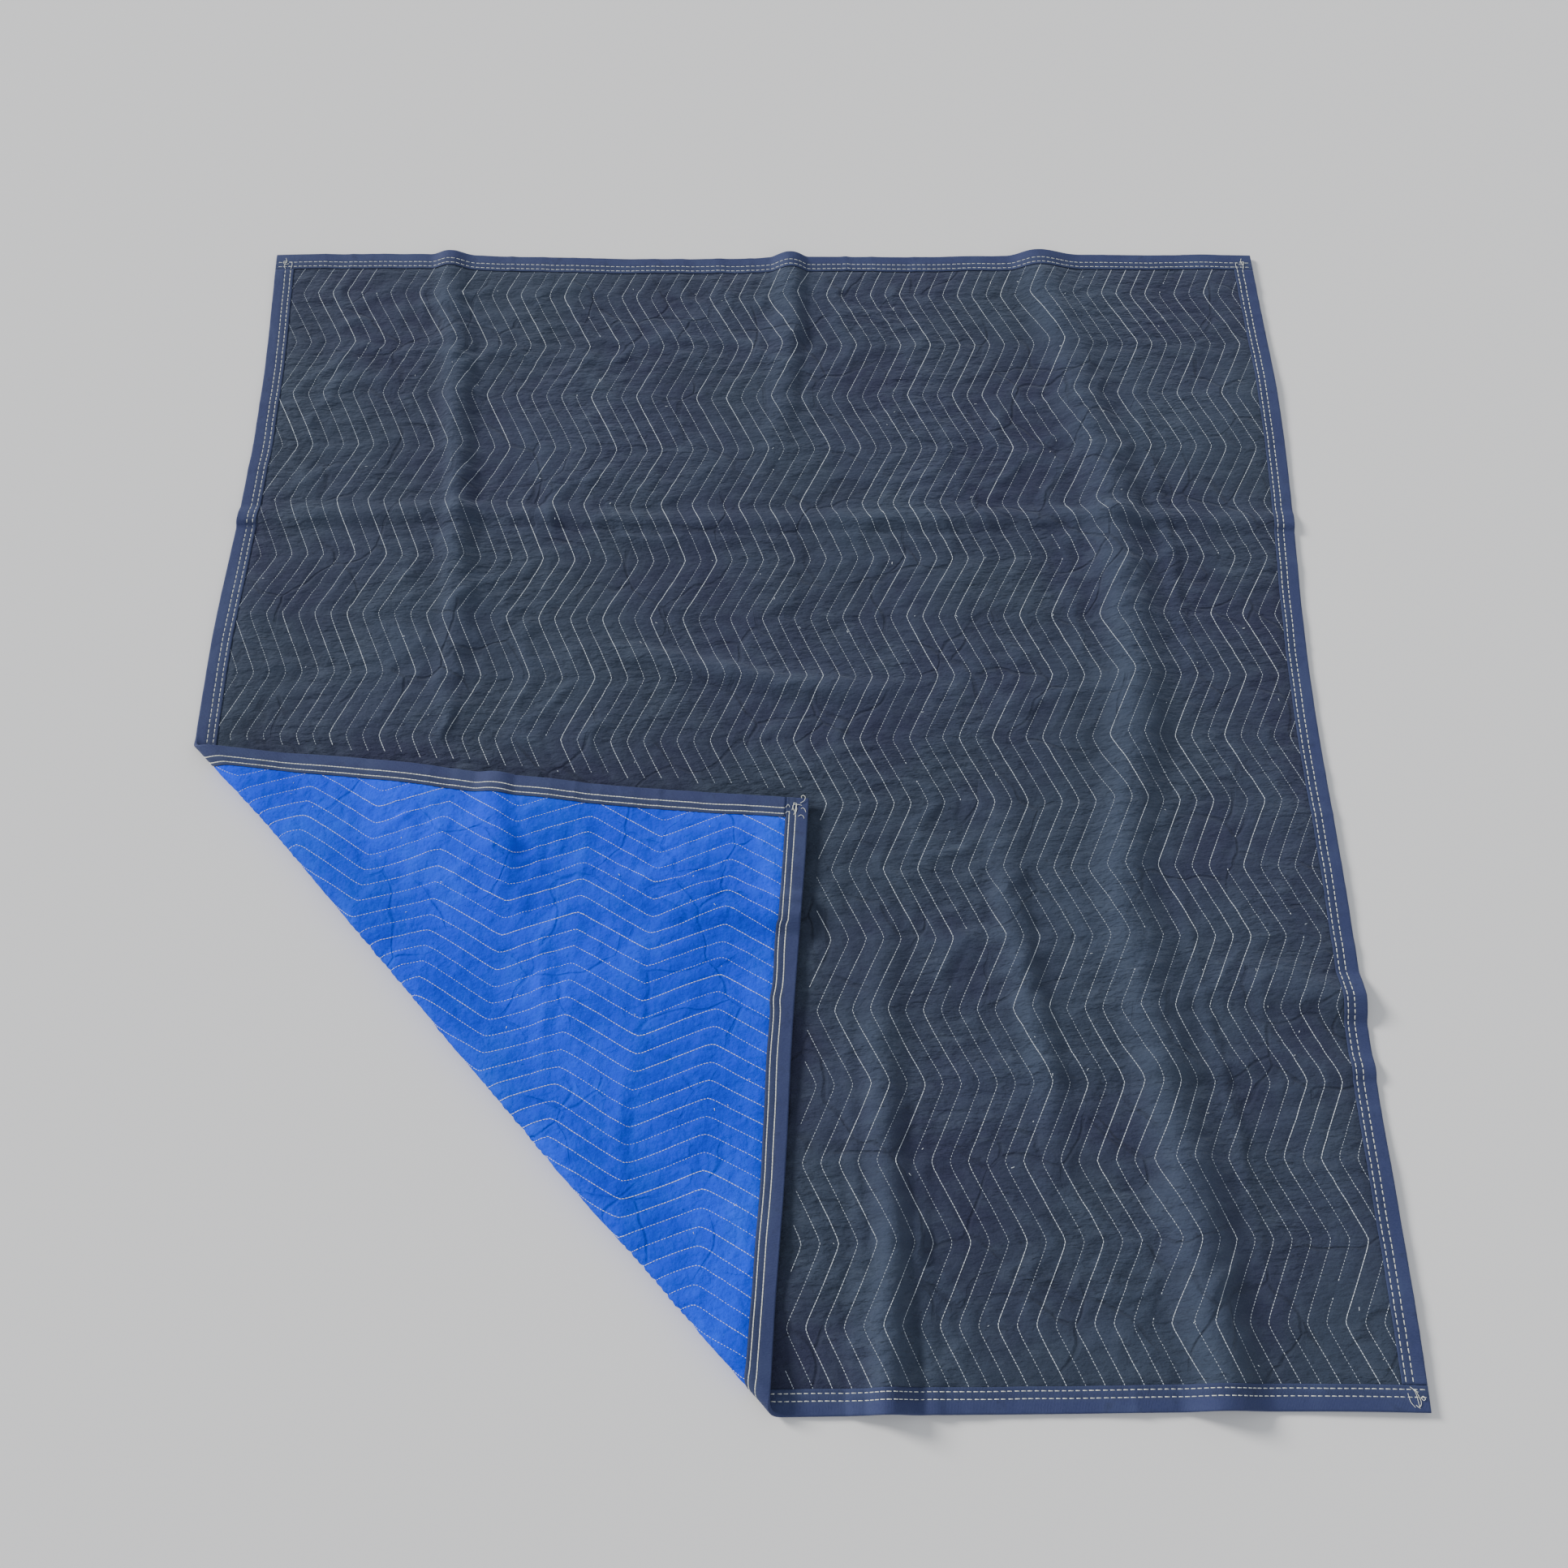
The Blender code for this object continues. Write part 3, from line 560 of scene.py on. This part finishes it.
def tape_height(inset, along, seed, side):
    """How far the tape's outer face is from the cloth's middle. It is drawn down at each row of stitching."""
    height = TAPE_OUTSIDE + (NAVY_SIDE_RISE if side > 0 else 0.0)
    if seed == HEM_SEED:
        lap_start, lap_end = (smooth_step(along, place, place + SPLICE_SLOPE) for place in SPLICE)
        height = height + 0.00045 * (lap_start - lap_end)
    for row in SEWN_AT:
        height = height - 0.00055 * np.exp(-(((inset - row) / 0.0016) ** 2))
    gather = np.exp(-(((inset - np.mean(SEWN_AT)) / 0.011) ** 2))
    height = height - 0.00022 * gather * (0.5 + 0.5 * swell(along / 0.0075, inset / 0.05, seed))
    height = height - 0.00016 * (0.5 + 0.5 * swell(along / 0.05, inset / 0.02, seed + 1))
    kinks = np.abs(swell(along / 0.09 + 3 * inset, inset / 0.1, seed + 3)) / 0.12
    height = height - 0.0004 * np.clip(1 - kinks, 0, 1)
    return height - 0.0009 * smooth_step(inset, TAPE_WIDTH - 0.0012, TAPE_WIDTH)


def tape_section(along, seed):
    """The closed section of the folded tape, as rows of points for each station: insets and heights."""
    outer = np.array((0.034, 0.0335, 0.0325, 0.031, 0.0295, 0.028, 0.0265, 0.0245, 0.023, 0.0215,
                      0.0195, 0.018, 0.0165, 0.0145, 0.0115, 0.008, 0.0045, 0.002, 0.0005))
    stray = tape_stray(along, seed)[:, None]
    insets, heights = [], []
    for side, order in ((1, slice(None)), (-1, slice(None, None, -1))):
        inset = outer[order][None, :] + stray * smooth_step(outer[order], 0.006, 0.03)[None, :]
        insets.append(inset)
        heights.append(side * tape_height(inset - stray, along[:, None], seed, side))
        if side > 0:
            turns = np.radians(np.arange(75, -76, -25))[None, :]
            insets.append(-TAPE_EDGE * np.cos(turns) + 0 * stray)
            heights.append((TAPE_OUTSIDE - 0.0001) * np.sin(turns) + 0 * stray)
    inner = np.array((0.033, 0.0295, 0.0255, 0.0215, 0.0175, 0.0135, 0.0095, 0.0055, 0.002, -0.0009))
    for side, order in ((-1, slice(None)), (1, slice(None, None, -1))):
        insets.append(inner[order][None, :] + stray * smooth_step(inner[order], 0.006, 0.03)[None, :])
        heights.append(side * TAPE_INSIDE + 0 * insets[-1])
    return np.concatenate(insets, axis=1), np.concatenate(heights, axis=1)


def binding(name, runs_along, edge_place, inward, first, last, seed, closed):
    """One strip of tape along an edge. A closed one is drawn together round the corners at its ends."""
    along = np.linspace(first, last, round((last - first) / STATION_STEP) + 1)
    if closed:
        nearer = np.array((0.0, 0.0002, 0.0006, 0.0012, 0.0018))
        along = np.concatenate([first + nearer, along[1:-1], last - nearer[::-1]])
    if seed == HEM_SEED:
        lap = [place + beyond for place in SPLICE for beyond in (0.0, SPLICE_SLOPE)]
        along = np.sort(np.append(along, lap))
    insets, heights = tape_section(along, seed)
    if closed:
        left = np.clip(np.minimum(along - first, last - along) / TAPE_EDGE, 0, 1)
        heights = heights * np.sqrt(1 - (1 - left) ** 2 + 0.02)[:, None]
    across = edge_place + inward * insets
    stations = np.broadcast_to(along[:, None], across.shape)
    u, v = (stations, across) if runs_along == "u" else (across, stations)
    points = laid(u, v, heights) + ON_FRAME
    points[..., 2] = np.maximum(points[..., 2], 0.0)
    count, ring = across.shape
    index = np.arange(count * ring).reshape(count, ring)
    following = np.roll(index, -1, axis=1)
    quads = np.stack([index[:-1], following[:-1], following[1:], index[1:]], axis=-1).reshape(-1, 4)
    faces = [*quads.tolist(), index[0].tolist(), index[-1][::-1].tolist()]
    marks = {"along": stations.ravel(), "inset": insets.ravel()}
    mesh = marked_mesh(name, points.reshape(-1, 3), faces, marks)
    bm = bmesh.new()
    bm.from_mesh(mesh)
    bmesh.ops.recalc_face_normals(bm, faces=bm.faces)
    bm.to_mesh(mesh)
    bm.free()
    mesh.shade_smooth()
    return placed(name, mesh)


def woven_tape():
    """Tape with fine ribs across it, faded in patches and a little duller along its sewn-down inner half."""
    tape = Surface("woven_tape")
    inset = tape.mark("inset")
    weave = tape.node("CombineXYZ", {"X": tape.mark("along"), "Y": inset}).outputs["Vector"]
    ribs = tape.node("TexWave", {"Vector": weave, "Scale": 210, "Distortion": 1.5, "Detail": 2})
    threads = tape.noise(500, 3, 0.3, 0.7, (1.6, 0.5, 1.0), weave)
    colour = tape.over(tape.eased(inset, 0.011, 0.021), (0.0300, 0.0400, 0.1160), (0.0275, 0.0375, 0.0940))
    colour = tape.tinted(
        colour,
        (tape.noise(14, 4, 0.40, 0.70), 0.45, (0.048, 0.066, 0.150)),  # fading
        (tape.noise(60, 4, 0.56, 0.76), 0.4, (0.013, 0.018, 0.042)),  # grime
        (threads, 0.25, (0.064, 0.086, 0.172)),
    )
    bumps = ((ribs.outputs["Fac"], 0.0003, 0.6), (threads, 0.0003, 0.6))
    return tape.finished(
        colour, bumps, Roughness=0.78, Sheen_Weight=0.07, Sheen_Tint=(0.60, 0.70, 0.95, 1.0))


tape_material = woven_tape()
SIDE_FIRST, SIDE_LAST = TAPE_WIDTH + TAPE_GAP, LENGTH - TAPE_WIDTH - TAPE_GAP
STRIPS = (
    # node, runs along, place of the edge, inward, from, to, seed, closed at its ends
    ("binding_bottom", "u", 0.0, 1, -TAPE_EDGE, WIDTH + TAPE_EDGE, HEM_SEED, True),
    ("binding_top", "u", LENGTH, -1, -TAPE_EDGE, WIDTH + TAPE_EDGE, TOP_SEED, True),
    ("binding_left", "v", 0.0, 1, SIDE_FIRST, SIDE_LAST, LEFT_SEED, False),
    ("binding_right", "v", WIDTH, -1, SIDE_FIRST, SIDE_LAST, RIGHT_SEED, False),
)
strips = {}
for node, *shape in STRIPS:
    strips[node] = binding("tape_" + node.split("_")[1], *shape)
    strips[node].data.materials.append(tape_material)
    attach(strips[node], "root")
    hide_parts(node)

# ---- Quilting stitches ----
# Lockstitches of spun white polyester along the zigzag lines. Some stretches lie proud and bright, some are
# worn thin or sunk into the felt, and here and there the thread is gone.

STITCH_PITCH = 0.0047
UNDERSIDE_PITCH = 0.0076
UNDER_TAPE = 0.010  # how far the lines run on under the tape
FINEST_ON_NAVY, FINEST_ON_BLUE = 0.00068, 0.00088


def stitch_nodes():
    """Sets one slender stitch at every point, turned by its marks and as long and thick as they say."""
    tree = bpy.data.node_groups.new("stitches", "GeometryNodeTree")
    tree.interface.new_socket("Points", in_out="INPUT", socket_type="NodeSocketGeometry")
    tree.interface.new_socket("Flatness", in_out="INPUT", socket_type="NodeSocketFloat")
    tree.interface.new_socket("Thread", in_out="INPUT", socket_type="NodeSocketMaterial")
    tree.interface.new_socket("Stitches", in_out="OUTPUT", socket_type="NodeSocketGeometry")
    nodes, links = tree.nodes, tree.links
    given, made = nodes.new("NodeGroupInput"), nodes.new("NodeGroupOutput")

    def mark(name, kind):
        node = nodes.new("GeometryNodeInputNamedAttribute")
        node.data_type = kind
        node.inputs["Name"].default_value = name
        return node.outputs["Attribute"]

    stitch = nodes.new("GeometryNodeMeshCylinder")  # three-sided, with its ridge up once it lies along X
    stitch.inputs["Vertices"].default_value = 3
    stitch.inputs["Radius"].default_value = 1 / math.sqrt(3)
    stitch.inputs["Depth"].default_value = 1.0
    lying = nodes.new("GeometryNodeTransform")
    lying.inputs["Rotation"].default_value = (0.0, -math.pi / 2, 0.0)
    turn = nodes.new("FunctionNodeAxesToRotation")
    turn.primary_axis, turn.secondary_axis = "X", "Z"
    thin = nodes.new("ShaderNodeMath")
    thin.operation = "MULTIPLY"
    size = nodes.new("ShaderNodeCombineXYZ")
    copies = nodes.new("GeometryNodeInstanceOnPoints")
    real = nodes.new("GeometryNodeRealizeInstances")
    smooth = nodes.new("GeometryNodeSetShadeSmooth")
    finish = nodes.new("GeometryNodeSetMaterial")
    thickness = mark("thickness", "FLOAT")
    for start, end in (
        (stitch.outputs["Mesh"], lying.inputs["Geometry"]),
        (mark("along", "FLOAT_VECTOR"), turn.inputs["Primary Axis"]),
        (mark("up", "FLOAT_VECTOR"), turn.inputs["Secondary Axis"]),
        (mark("length", "FLOAT"), size.inputs["X"]),
        (thickness, size.inputs["Y"]),
        (thickness, thin.inputs[0]),
        (given.outputs["Flatness"], thin.inputs[1]),
        (thin.outputs["Value"], size.inputs["Z"]),
        (given.outputs["Points"], copies.inputs["Points"]),
        (lying.outputs["Geometry"], copies.inputs["Instance"]),
        (turn.outputs["Rotation"], copies.inputs["Rotation"]),
        (size.outputs["Vector"], copies.inputs["Scale"]),
        (copies.outputs["Instances"], real.inputs["Geometry"]),
        (real.outputs["Geometry"], smooth.inputs["Geometry"]),
        (smooth.outputs["Geometry"], finish.inputs["Geometry"]),
        (given.outputs["Thread"], finish.inputs["Material"]),
        (finish.outputs["Geometry"], made.inputs["Stitches"]),
    ):
        links.new(start, end)
    return tree


STITCH_TREE = stitch_nodes()


def sewn(name, stitches, flatness, thread):
    """All these stitches as one mesh. Each row of stitches is (place, along, up, length, thickness)."""
    places, *marks = (np.concatenate(values) for values in zip(*stitches))
    marks = dict(zip(("along", "up", "length", "thickness"), marks))
    holder = placed(name + "_points", marked_mesh(name + "_points", places, [], marks))
    modifier = holder.modifiers.new("stitches", "NODES")
    modifier.node_group = STITCH_TREE
    sockets = {item.name: item.identifier
               for item in STITCH_TREE.interface.items_tree if item.in_out == "INPUT"}
    modifier[sockets["Flatness"]] = flatness
    modifier[sockets["Thread"]] = thread
    bpy.context.view_layer.update()
    evaluated = holder.evaluated_get(bpy.context.evaluated_depsgraph_get())
    made = bpy.data.meshes.new_from_object(evaluated)
    made.name = name
    corners = np.empty(len(made.vertices) * 3)
    made.vertices.foreach_get("co", corners)
    corners[2::3] = np.maximum(corners[2::3], 0.0)  # pressed flat where they would go into the floor
    made.vertices.foreach_set("co", corners)
    bpy.data.objects.remove(holder, do_unlink=True)
    piece = placed(name, made)
    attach(piece, "root")
    return piece


def unit(vectors):
    return vectors / (np.linalg.norm(vectors, axis=-1, keepdims=True) + 1e-12)


def across_and_onward(points):
    """Which ways the cloth runs at each point of its grid, across the quilting lines and along them."""
    return np.gradient(points, axis=0), np.gradient(points, axis=1)


def along_line(points, ups, pitch, seed):
    """Places every pitch along a line of points, with the line's way, its up and how far along they are."""
    steps = np.linalg.norm(np.diff(points, axis=0), axis=1)
    reach = np.concatenate([[0], steps.cumsum()])
    rng = np.random.default_rng(seed)
    at = np.arange(pitch / 2, reach[-1], pitch)
    at = at + rng.uniform(-0.06, 0.06, len(at)) * pitch

    def at_places(values):
        return np.stack([np.interp(at, reach, values[:, axis]) for axis in range(3)], axis=-1)

    return at_places(points), at_places(np.gradient(points, axis=0)), at_places(ups), at


def quilting_stitches(points, side, shown, pitch, finest, unevenness):
    """The stitches of every quilting line on one face, where it shows, the faintest as thin as finest."""
    ups = unit(side * np.cross(*across_and_onward(points)))
    sewn_here = shown & (from_edge(GRID_U, GRID_V) > TAPE_WIDTH - UNDER_TAPE)
    for number in range(len(LINE_NUMBERS)):
        column = number * len(COLUMN_PHASES)
        rows = np.flatnonzero(sewn_here[column])
        for stretch in np.split(rows, np.flatnonzero(np.diff(rows) > 1) + 1):
            if len(stretch) < 3:
                continue
            line, up = points[column, stretch], ups[column, stretch]
            places, ways, lifts, at = along_line(line, up, pitch, 1000 + number)
            lifts = unit(lifts)
            base = at * 0 + number * 7.3
            changes = 0.55 * swell(at / 0.30, base, 31) + 0.25 * swell(at / 0.06, base, 32)
            brightness = 0.55 + unevenness * (changes + 0.2 * math.sin(number * 2.7) - 0.11)
            full = smooth_step(brightness, 0.15, 0.95)
            kept = brightness > -0.12
            # where the thread is broken, its ends are frayed to short tufts
            broken = kept & ~(np.append(kept[1:], True) & np.insert(kept[:-1], 0, True))
            length = np.where(broken, 0.0024, pitch * (0.56 + 0.32 * full))
            thickness = np.where(broken, 0.0015, finest + 0.00044 * full)
            proud = places + lifts * ((0.10 + 0.22 * full) * thickness)[:, None]
            yield tuple(values[kept] for values in (proud, ways, lifts, length, thickness))


def thread_material(name, colour, worn, roughness):
    thread = Surface(name)
    tone = thread.over(thread.noise(120, 3, 0.40, 0.65), colour, worn)
    return thread.finished(tone, [(thread.noise(2600, 2, 0.3, 0.7), 0.0002, 0.6)], Roughness=roughness)


white_thread = thread_material("white_thread", (0.84, 0.90, 0.96), (0.64, 0.71, 0.80), 0.65)
cream_thread = thread_material("cream_thread", (0.95, 0.96, 0.86), (0.88, 0.90, 0.80), 0.6)

navy_rows = [*quilting_stitches(NAVY_POINTS, 1, SHOWN > 0.02, STITCH_PITCH, FINEST_ON_NAVY, 1.0)]
navy_stitches = sewn("navy_stitches", navy_rows, 0.6, white_thread)

off_floor = INTO_ROLL > 0.004
blue_rows = [
    *quilting_stitches(BLUE_POINTS, -1, off_floor, STITCH_PITCH, FINEST_ON_BLUE, 0.6),
    *quilting_stitches(BLUE_POINTS, -1, ~off_floor, UNDERSIDE_PITCH, FINEST_ON_BLUE, 0.6),
]
blue_stitches = sewn("blue_stitches", blue_rows, 0.6, white_thread)

# ---- Binding stitches ----
# Two rows of heavier cream lockstitch along every strip, 10 mm apart. On the blue side the thread lies on
# top in one bright line, and on the navy side it dips, so that it shows as dashes.

NAVY_SIDE_PITCH = 0.0094
BLUE_SIDE_PITCH = 0.0050


def tape_line(strip, row, side, first, last):
    """Points along a row of stitching on the tape, and which way is up there."""
    _, runs_along, edge_place, inward, _, _, seed, _ = strip
    along = np.linspace(first, last, round((last - first) / STATION_STEP) + 1)
    height = side * tape_height(row + 0 * along, along, seed, side)

    def at(inset, w):
        across = edge_place + inward * inset
        return laid(*((along, across) if runs_along == "u" else (across, along)), w) + ON_FRAME

    inset = row + tape_stray(along, seed)
    points = at(inset, height)
    return points, unit(at(inset, height + side * 0.001) - points)


def tape_rows(side, pitch, length, thickness):
    for strip in STRIPS:
        _, runs_along, *_, seed, _ = strip
        for number, row in enumerate(SEWN_AT):
            if runs_along == "v":
                first = TAPE_WIDTH + 0.002  # short of the strip that lies over its end
            else:
                first = 0.003 if side > 0 else row - 0.004
            last = (WIDTH if runs_along == "u" else LENGTH) - first
            points, ups = tape_line(strip, row, side, first, last)
            places, ways, lifts, at = along_line(points, ups, pitch, seed + number)
            rng = np.random.default_rng(seed + 10 + number)
            lengths = length * rng.uniform(0.9, 1.08, len(at))
            places = places + lifts * thickness * 0.22
            turned = np.hypot(lifts[:, 0], lifts[:, 1])
            places[:, 2] = np.maximum(places[:, 2], thickness * (0.3 + 0.35 * turned))
            yield places, ways, lifts, lengths, np.full(len(at), thickness)


navy_side_rows = [*tape_rows(1, NAVY_SIDE_PITCH, 0.0064, 0.0014)]
blue_side_rows = [*tape_rows(-1, BLUE_SIDE_PITCH, 0.0058, 0.0016)]
tape_stitches_navy = sewn("tape_stitches_navy", navy_side_rows, 0.6, cream_thread)
tape_stitches_blue = sewn("tape_stitches_blue", blue_side_rows, 0.6, cream_thread)

# ---- Loose threads ----
# Where the side strips' rows meet the strips sewn over their ends, the thread's tails are caught in a small
# tack, and loose ends curl out of it. Lint clings to the felt of both faces.

THREAD_RADIUS = 0.00036
SUNK_IN_TAPE = 0.0001
# Each tail is a row of places in mm: in from the side edge, in from the hem or the top, and up off the tape.
TURNED_CORNER_TAILS = (
    ((18, 34, 0.2), (14, 32, 1.2), (13, 30, 1.8), (17, 27.5, 0.3)),
    ((28, 34, 0.2), (25.5, 32, 1.4), (25, 29.5, 1.6), (28.5, 27, 0.2)),
    ((22, 24, 0.3), (15, 22.5, 1.0), (8, 21.5, 0.8)),
    ((24, 20, 0.3), (16, 23, 1.1), (9, 20, 0.6), (12, 17, 0.9), (21, 19, 0.3)),
    ((12, 21, 0.4), (11.5, 15, 0.9), (12.5, 8.5, 0.3)),
    ((12, 18, 0.3), (20, 16.5, 0.7), (29, 19, 0.3)),
    ((30, 21, 0.2), (22, 18.5, 0.9), (13, 17.5, 0.5)),
    ((18, 10, 0.3), (17, 7, 1.1), (19, 4, 1.0), (24, 1.8, 0.2)),
    ((32, 14, 0.3), (29.5, 10, 1.3), (31, 6, 1.0), (35, 4, 0.2)),
    ((9, 12, 0.5), (6, 7.5, 1.2), (2.5, 4.6, 1.8), (-1.6, 4.2, 2.2), (-4.4, 7.4, 2.3), (-2.4, 10.4, 1.9),
     (0.4, 9.6, 1.5)),
)
OPEN_CORNER_TAILS = (
    ((23, 31, 0.3), (18, 25, 1.0), (15.5, 14, 0.8), (14, 3, 0.3)),
    ((28, 23, 0.3), (26, 12, 1.3), (20, 4.5, 0.3)),
    ((11, 18, 0.4), (8, 14, 1.2), (5.5, 16, 1.5), (7.5, 19.5, 1.1), (11, 17, 0.5)),
    ((24, 31.5, 0.4), (17, 26, 0.9), (13, 24.5, 0.3)),
    ((17, 28, 0.3), (11.5, 12, 1.0), (15, 5, 0.8), (19, 8, 0.3)),
)
PLAIN_CORNER_TAILS = (
    ((18, 35, 0.2), (16, 27, 1.1), (19, 16, 0.8), (17, 8, 0.2)),
    ((28, 35, 0.2), (30, 24, 1.2), (27, 17, 0.2)),
    ((24, 22, 0.3), (16, 24, 0.9), (14, 17, 0.9), (21, 16, 0.3)),
)


def smooth_path(points, steps):
    """Points along a smooth curve through these ones."""
    points = np.array([2 * points[0] - points[1], *points, 2 * points[-1] - points[-2]])
    path = []
    for before, start, end, after in zip(points, points[1:], points[2:], points[3:]):
        for share in np.arange(steps) / steps:
            path.append(0.5 * (2 * start + (end - before) * share
                               + (2 * before - 5 * start + 4 * end - after) * share**2
                               + (3 * start - before - 3 * end + after) * share**3))
    return np.array([*path, points[-2]])


def thread_tube(bm, path, radius, sides=6):
    """A closed tube of thread along the path, tapering at its ends."""
    ways = unit(np.gradient(path, axis=0))
    across = unit(np.cross(ways, (0.13, 0.21, 1.0)))
    lift = np.cross(across, ways)
    rings = []
    for number, (place, side, up) in enumerate(zip(path, across, lift)):
        size = radius * (0.55 if number in (0, len(path) - 1) else 1.0)
        rings.append([bm.verts.new(place + size * (side * math.cos(turn) + up * math.sin(turn)))
                      for turn in (math.tau * step / sides for step in range(sides))])
    for ring, following in zip(rings, rings[1:]):
        for one in range(sides):
            other = (one + 1) % sides
            bm.faces.new((ring[one], ring[other], following[other], following[one]))
    bm.faces.new(rings[0][::-1])
    bm.faces.new(rings[-1])


def corner_tails(bm, tails, from_right, from_top, side):
    for tail in tails:
        inwards, up_edge, lift = np.array(tail).T / 1000
        u = WIDTH - inwards if from_right else inwards
        v = LENGTH - up_edge if from_top else up_edge
        rise = TAPE_OUTSIDE + (NAVY_SIDE_RISE if side > 0 else 0.0) - SUNK_IN_TAPE + lift
        path = smooth_path(laid(u, v, side * rise) + ON_FRAME, 6)
        path[:, 2] = np.maximum(path[:, 2], THREAD_RADIUS)
        thread_tube(bm, path, THREAD_RADIUS)


tails_bm = bmesh.new()
corner_tails(tails_bm, TURNED_CORNER_TAILS, False, False, -1)
corner_tails(tails_bm, OPEN_CORNER_TAILS, True, False, 1)
corner_tails(tails_bm, PLAIN_CORNER_TAILS, True, True, 1)
corner_tails(tails_bm, PLAIN_CORNER_TAILS, False, True, 1)
bmesh.ops.recalc_face_normals(tails_bm, faces=tails_bm.faces)
tails_mesh = bpy.data.meshes.new("thread_tails")
tails_bm.to_mesh(tails_mesh)
tails_bm.free()
tails_mesh.shade_smooth()
thread_tails = placed("thread_tails", tails_mesh)
thread_tails.data.materials.append(cream_thread)
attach(thread_tails, "root")


def lint(points, side, where, count, seed):
    """Short fibres lying any way on the cloth."""
    rng = np.random.default_rng(seed)
    chosen = rng.choice(np.flatnonzero(where.ravel()), count, replace=False)
    across, onward = (unit(way.reshape(-1, 3)[chosen]) for way in across_and_onward(points))
    turn = rng.uniform(0, math.tau, (count, 1))
    ups = side * np.cross(across, onward)
    places = points.reshape(-1, 3)[chosen] + ups * 0.0003
    return (places, across * np.cos(turn) + onward * np.sin(turn), ups,
            rng.uniform(0.0015, 0.0050, count), rng.uniform(0.0006, 0.0011, count))


in_field = from_edge(GRID_U, GRID_V) > 0.05
specks = [
    lint(NAVY_POINTS, 1, in_field & (SHOWN > 0.5), 110, 7),
    lint(BLUE_POINTS, -1, in_field & (INTO_ROLL > 0.08), 26, 8),
]
lint_specks = sewn("lint_specks", specks, 0.5, white_thread)

# ---- Floor, light and camera ----

FLOOR_REACH, FLOOR_DROP = 40, 0.0005
floor_corners = [
    (x * FLOOR_REACH, y * FLOOR_REACH, -FLOOR_DROP) for x, y in ((-1, -1), (1, -1), (1, 1), (-1, 1))]
floor = placed("floor", marked_mesh("floor", floor_corners, [(0, 1, 2, 3)], {}))
floor.data.materials.append(Surface("floor").finished((0.80, 0.79, 0.78, 1.0), [], Roughness=0.9))


def soft_light(name, way, strength, angle, colour):
    """Soft, even light that comes from this way, as from a large window far off."""
    light = bpy.data.lights.new(name, "SUN")
    light.energy = strength
    light.angle = math.radians(angle)
    light.color = colour
    lamp = bpy.data.objects.new(name, light)
    lamp.rotation_euler = (-Vector(way)).to_track_quat("-Z", "Y").to_euler()
    bpy.context.collection.objects.link(lamp)


soft_light("key_light", (-6.0, 3.4, 3.3), 4.0, 16, (1.0, 0.985, 0.965))
soft_light("fill_light", (3.2, -2.6, 3.4), 0.60, 60, (0.93, 0.96, 1.0))

world = bpy.data.worlds.new("studio")
world.use_nodes = True
world.node_tree.nodes["Background"].inputs["Color"].default_value = (0.86, 0.90, 0.96, 1.0)
world.node_tree.nodes["Background"].inputs["Strength"].default_value = 0.60
bpy.context.scene.world = world

camera_data = bpy.data.cameras.new("camera")
camera_data.lens = 37
camera_data.sensor_width = 36
camera = bpy.data.objects.new("camera", camera_data)
CAMERA_TARGET = Vector((0.035, -0.07, 0.0))
CAMERA_DISTANCE = 2.60
CAMERA_ELEVATION = math.radians(66)
camera_way = Vector((0.0, -math.cos(CAMERA_ELEVATION), math.sin(CAMERA_ELEVATION)))
camera.location = CAMERA_TARGET + CAMERA_DISTANCE * camera_way
camera.rotation_euler = (CAMERA_TARGET - camera.location).to_track_quat("-Z", "Y").to_euler()
bpy.context.collection.objects.link(camera)
bpy.context.scene.camera = camera
